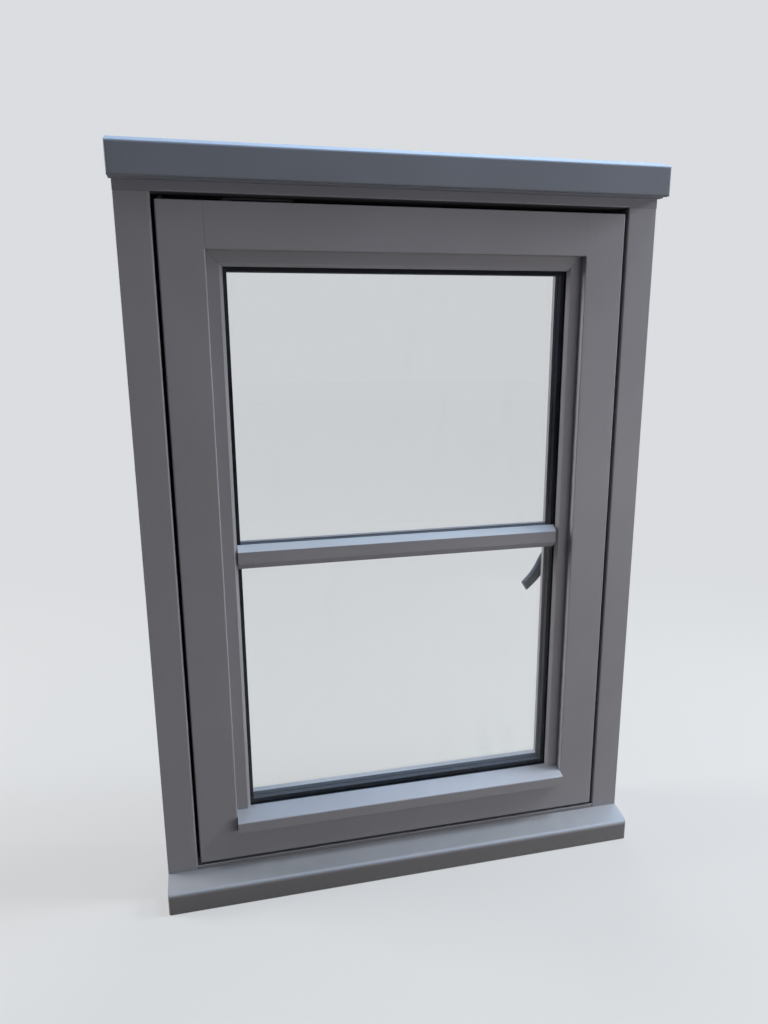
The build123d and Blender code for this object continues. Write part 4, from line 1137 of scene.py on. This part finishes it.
@dataclass
class Joinery:
    """The painted timber members, with the hairlines of their joints.

    Attributes:
        stile_inner: Half the width between the stiles' inner edges, in metres, like the rest.
        head_bottom: The height where the head meets the jambs.
        sill_slope_top: The height where the jambs meet the sill.
        sight_half: Half the width of the glass between the beads.
        sight_top: The height of the top bead's lower edge.
        rail_edge: The height of the top rail's lower edge.
    """

    stile_inner: float = 224.5 * MM
    head_bottom: float = 851.8 * MM
    sill_slope_top: float = 34.6 * MM
    sight_half: float = 207.0 * MM
    sight_top: float = 778.7 * MM
    rail_edge: float = 795.2 * MM

    def finishes(self) -> dict[str, Finish]:
        """Gives the finish of each painted member.

        Returns:
            The finish by the member's node.
        """
        stile = PaintLine(Axis.X, self.stile_inner)
        head = PaintLine(Axis.Z, self.head_bottom)
        foot = PaintLine(Axis.Z, self.sill_slope_top)
        corner = Mitre((self.sight_half, self.sight_top), (self.stile_inner, self.rail_edge))
        upright, level = Grain.UPRIGHT, Grain.LEVEL
        jamb = SatinPaint("paint_on_jamb", upright, (head, foot))
        sash_side = SatinPaint("paint_on_stile", upright)
        bead_side = SatinPaint("paint_on_side_bead", upright, (), corner)
        return {
            # The sill's upright faces outside are darkened and browned, partly dirt and partly painted
            # shade.
            "frame_sill": SatinPaint("paint_on_sill", level, colour=shade(126, 125, 128), dirt_and_shade=0.44),
            # The head is painted darker and bluer than the other members: a painted shadow of the drip.
            "frame_head": SatinPaint("paint_on_head_with_painted_shadow", level, (head,), colour=shade(115, 114, 121)),
            "frame_jamb_hinge_side": jamb,
            "frame_jamb_lock_side": jamb,
            # The drip is painted darker and bluer than the other members: painted shade on its face.
            "head_drip": SatinPaint("paint_on_drip_with_painted_shade", level, colour=shade(109, 112, 121), sheen=0.18),
            "sash_stile_hinge_side": sash_side,
            "sash_stile_lock_side": sash_side,
            "sash_rail_top": SatinPaint("paint_on_top_rail", level, (stile,)),
            # The bottom rail's sloped top is painted paler: a painted sky reflection.
            "sash_rail_bottom": SatinPaint("paint_on_bottom_rail", level, painted_sky_reflection=0.30),
            "bead_top": SatinPaint("paint_on_top_bead", level, (), corner),
            "bead_hinge_side": bead_side,
            "bead_lock_side": bead_side,
            # The weather bead's and the bar's sloped tops are painted paler: a painted sky reflection.
            "bead_bottom": SatinPaint("paint_on_weather_bead", level, painted_sky_reflection=0.11),
            "glazing_bar_outer": SatinPaint("paint_on_bar", level, painted_sky_reflection=0.52),
            "glazing_bar_inner": SatinPaint("paint_on_inner_bar", level),
        }


class Fittings:
    """The glass, seals, lock, stays and handle."""

    def finishes(self) -> dict[str, Finish]:
        """Gives the finish of each node that isn't painted timber.

        Returns:
            The finish by node.
        """
        spacer = Rubber("warm_edge_spacer", shade(13, 15, 22), 0.5, 0.02 * MM, 0.22)
        mastic = Rubber("edge_mastic", shade(18, 18, 22), 0.45, 0.25 * MM, 0.3)
        tape = Rubber("glazing_foam_tape", shade(22, 22, 25), 0.75, 0.08 * MM, 0.25)
        blocks = Moulding("packer_plastic", shade(40, 62, 92))
        lock = Steel("plated_steel", shade(196, 198, 200), (260.0, 260.0, 2600.0))
        lock_parts = ("lock_faceplate", "gearbox_case", "gearbox_pinion", "drive_rod", "locking_cams")
        coat = PowderCoat("handle_slate_coat", shade(50, 56, 70), shade(78, 85, 104))
        seal = Rubber("seal_rubber", shade(34, 34, 37), roughness=0.55)
        seals = ["seal_" + side for side in ("head", "sill", "hinge_side", "lock_side")]
        stay = Steel("stainless_steel", shade(150, 150, 149), (120.0, 2600.0, 2600.0), 0.34)
        levels = ("top", "bottom")
        worn: list[tuple[Finish, Iterable[str]]] = [
            (ClearGlass(), ("outer_pane", "inner_pane")),
            (spacer, ("spacer_frame", "cavity_bar")),
            (mastic, ("edge_sealant",)),
            (tape, ("glazing_tape_outer", "glazing_tape_inner")),
            (blocks, ("setting_blocks",)),
            (lock, (*lock_parts, "keep_lower", "keep_upper", "handle_spindle")),
            (coat, ("handle_rose", "handle_lever")),
            (seal, seals),
            (stay, [f"stay_{part}_{level}" for level in levels for part in ("track", "arm", "plate")]),
            (Moulding("shoe_acetal", shade(58, 60, 64)), ["stay_shoe_" + level for level in levels]),
        ]
        return {node: finish for finish, nodes in worn for node in nodes}


class Wardrobe:
    """Makes each finish once and puts it on the CAD nodes."""

    def __init__(self, nodes: dict[str, Piece]) -> None:
        """Keeps the nodes.

        Args:
            nodes: The CAD nodes by name.
        """
        self.nodes = nodes
        self.made: dict[str, Material] = {}

    def material(self, finish: Finish) -> Material:
        """Gives the material of a finish, making it the first time.

        Args:
            finish: The finish.

        Returns:
            Its material.
        """
        if finish.name not in self.made:
            self.made[finish.name] = finish.material()
        return self.made[finish.name]

    def dress(self, finishes: dict[str, Finish]) -> None:
        """Puts finishes on nodes.

        Args:
            finishes: The finish by node.
        """
        for name, finish in finishes.items():
            for slot in self.nodes[name].material_slots:
                slot.material = self.material(finish)
            LOG.info("%s: %s", name, finish.name)


# Studio


@dataclass(frozen=True)
class SoftLamp:
    """A square soft lamp.

    Attributes:
        name: The lamp's name.
        position: Where it hangs, in metres.
        target: What it is turned to, in metres.
        size: Its side, in metres.
        power: Its power, in watts.
        colour: Its colour.
    """

    name: str
    position: Place
    target: Place
    size: float
    power: float
    colour: Colour


@dataclass
class Studio:
    """The floor, the light and the camera.

    What gloss shows depends on the direction it looks in. Its heights, sides and depths are
    parts of that direction, from -1 to 1.

    Attributes:
        position: The camera's place, in millimetres.
        yaw: How far the camera is turned to the right of straight in, in degrees.
        pitch: How far it looks up, in degrees.
        roll: How far its right side is tilted down, in degrees.
        focal_pixels: Its focal length in pixels of the 768 by 1024 image.
        image_height: The image's height, in pixels.
        sensor: The sensor's longer side, in millimetres.
        near: How near to the camera things are still seen, in metres.
        floor_radius: The floor's radius, in metres.
        floor_drop: How far the floor lies below the sill, in metres.
        floor_sides: How many sides the floor's round has.
        floor_fade: How far from the middle the floor begins to fade and is all backdrop, in metres.
        floor_colour: The floor's colour.
        floor_glow: The backdrop's share in the floor beside the window.
        floor_bounce: The floor's colour in the light that it throws back.
        backdrop: The backdrop's colour.
        ambient: How strong the light from all round is.
        ambient_colour: Its colour.
        gloss_low: What gloss shows low down.
        gloss_high: What gloss shows high up.
        gloss_rise: The heights between which one passes into the other.
        gloss_zenith: The heights between which the sky brightens.
        gloss_side: The sides between which it brightens, from left to right.
        gloss_shaded: How much of its brightness is left on the left.
        gloss_sky: How bright it is at its brightest.
        gloss_room: How much brightness is added high over the room.
        room_depth: The depths between which that begins, toward the inside.
        room_height: The heights between which it begins.
        soft_lamps: The lamps.
    """

    position: Place = (-230.7, -869.0, 699.0)
    yaw: float = 13.087
    pitch: float = -13.005
    roll: float = 0.411
    focal_pixels: float = 747.5
    image_height: int = 1024
    sensor: float = 36.0
    near: float = 10.0 * MM
    floor_radius: float = 12.0
    floor_drop: float = 0.5 * MM
    floor_sides: int = 96
    floor_fade: tuple[float, float] = (0.65, 2.0)
    floor_colour: Colour = shade(170, 169, 168)
    floor_glow: float = 0.66
    floor_bounce: Colour = shade(120, 118, 116)
    backdrop: Colour = shade(219, 221, 224)
    ambient: float = 0.13
    ambient_colour: Colour = (0.98, 0.98, 1.0)
    gloss_low: Colour = shade(92, 94, 100)
    gloss_high: Colour = shade(184, 214, 250)
    gloss_rise: tuple[float, float] = (0.10, 0.70)
    gloss_zenith: tuple[float, float] = (0.28, 0.80)
    gloss_side: tuple[float, float] = (-0.15, 0.40)
    gloss_shaded: float = 0.3
    gloss_sky: float = 7.8
    gloss_room: float = 1.5
    room_depth: tuple[float, float] = (0.3, 0.8)
    room_height: tuple[float, float] = (0.42, 0.62)
    soft_lamps: tuple[SoftLamp, ...] = (
        SoftLamp("high_side", (1.7, -0.22, 1.5), (0.1, -0.05, 0.0), 0.5, 44.0, (0.90, 0.95, 1.0)),
        SoftLamp("overhead", (0.9, -0.12, 2.6), (0.25, -0.05, 0.0), 0.5, 46.0, (0.70, 0.88, 1.0)),
        SoftLamp("low_side", (1.8, -1.2, 0.15), (0.0, 0.0, 0.25), 0.9, 20.0, (1.0, 0.97, 0.94)),
        SoftLamp("low_front", (0.9, -1.6, 0.15), (0.0, 0.0, 0.35), 0.9, 10.0, (1.0, 0.98, 0.96)),
        SoftLamp("room_side", (-2.5, 0.80, 1.0), (0.1, 0.05, 0.4), 1.0, 120.0, (1.0, 0.99, 0.97)),
        SoftLamp("room_fill", (0.9, 2.6, 1.3), (0.0, 0.05, 0.4), 1.6, 46.0, (1.0, 0.99, 0.97)),
    )

    def camera(self) -> None:
        """Sets the camera where the window is seen from."""
        data = bpy.data.cameras.new("camera")
        data.sensor_width = self.sensor
        data.lens = self.focal_pixels * self.sensor / self.image_height
        data.clip_start = self.near
        camera = bpy.data.objects.new("camera", data)
        bpy.context.scene.collection.objects.link(camera)
        aim = Matrix.Rotation(math.radians(-self.yaw), 4, "Z")
        aim = aim @ Matrix.Rotation(math.radians(90.0 + self.pitch), 4, "X")
        aim = aim @ Matrix.Rotation(math.radians(-self.roll), 4, "Z")
        camera.matrix_world = Matrix.Translation(Vector(self.position) * MM) @ aim
        bpy.context.scene.camera = camera

    def floor(self) -> None:
        """Lays a pale floor that fades into the backdrop."""
        clear_selection()
        bpy.ops.mesh.primitive_circle_add(
            vertices=self.floor_sides,
            radius=self.floor_radius,
            fill_type="NGON",
            location=(0.0, 0.0, -self.floor_drop),
        )
        floor = bpy.context.object
        floor.name = "floor"
        recipe = Recipe.named("pale_floor")
        across, along, _ = recipe.parts(recipe.point())
        away = (across * across + along * along).math("SQRT")
        matt = recipe.shader(Base_Color=self.floor_colour, Roughness=0.9, Specular_IOR_Level=0.1)
        glow = recipe.node("ShaderNodeEmission", {}, {"Color": self.backdrop, "Strength": 1.0}).outputs[0]
        glowing = away.rise(*self.floor_fade) * (1.0 - self.floor_glow) + self.floor_glow
        shown = recipe.choose(glowing, matt, glow)
        bounce = recipe.node("ShaderNodeBsdfDiffuse", {}, {"Color": self.floor_bounce}).outputs[0]
        coat_all(floor, recipe.done(recipe.choose(recipe.seen_directly(), bounce, shown)))

    def surroundings(self) -> None:
        """Gives the ambient light, the backdrop, and the sky and room that gloss shows."""
        world = bpy.data.worlds.new("backdrop")
        bpy.context.scene.world = world
        recipe = Recipe(world)
        rays = recipe.node("ShaderNodeLightPath", {}, {})
        towards = recipe.node("ShaderNodeTexCoord", {}, {}).outputs["Generated"]
        side, inward, height = recipe.parts(towards)
        mirrored = recipe.mix(height.rise(*self.gloss_rise), self.gloss_low, self.gloss_high)
        lit = recipe.background(self.ambient_colour, self.ambient)
        lighter_side = side.rise(*self.gloss_side) * (1.0 - self.gloss_shaded) + self.gloss_shaded
        zenith = height.rise(*self.gloss_zenith) * lighter_side * (self.gloss_sky - 1.0)
        beyond = inward.rise(*self.room_depth) * height.rise(*self.room_height) * self.gloss_room
        sky = recipe.background(mirrored, zenith + beyond + 1.0)
        lit = recipe.choose(rays.outputs["Is Glossy Ray"], lit, sky)
        lit = recipe.choose(recipe.seen_directly(), lit, recipe.background(self.backdrop, 1.0))
        recipe.node("ShaderNodeOutputWorld", {}, {"Surface": lit})

    def lamps(self) -> None:
        """Hangs the soft lamps."""
        for lamp in self.soft_lamps:
            data = bpy.data.lights.new(lamp.name, "AREA")
            data.shape = "SQUARE"
            data.size = lamp.size
            data.energy = lamp.power
            data.color = lamp.colour
            holder = bpy.data.objects.new(lamp.name, data)
            holder.visible_camera = False
            holder.visible_glossy = False
            holder.visible_transmission = False
            aim = Vector(lamp.target) - Vector(lamp.position)
            turn = aim.to_track_quat("-Z", "Y").to_matrix().to_4x4()
            holder.matrix_world = Matrix.Translation(Vector(lamp.position)) @ turn
            bpy.context.scene.collection.objects.link(holder)

    def set_up(self) -> None:
        """Makes the whole studio."""
        self.camera()
        self.floor()
        self.surroundings()
        self.lamps()
        bpy.context.scene.view_settings.view_transform = "Standard"


def main() -> None:
    """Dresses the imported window, adds the detailed pieces and sets up the studio."""
    logging.basicConfig(level=logging.INFO, format="%(name)s: %(message)s")
    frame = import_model()
    Studio().set_up()
    wardrobe = Wardrobe(frame["nodes"])
    wardrobe.dress(Joinery().finishes())
    wardrobe.dress(Fittings().finishes())
    screw_steel = wardrobe.material(Steel("screw_zinc", shade(178, 180, 184), (900.0, 900.0, 900.0), 0.30))
    Fasteners().build(screw_steel)
    Lever().build(wardrobe.made["handle_slate_coat"])


if __name__ == "__main__":
    main()
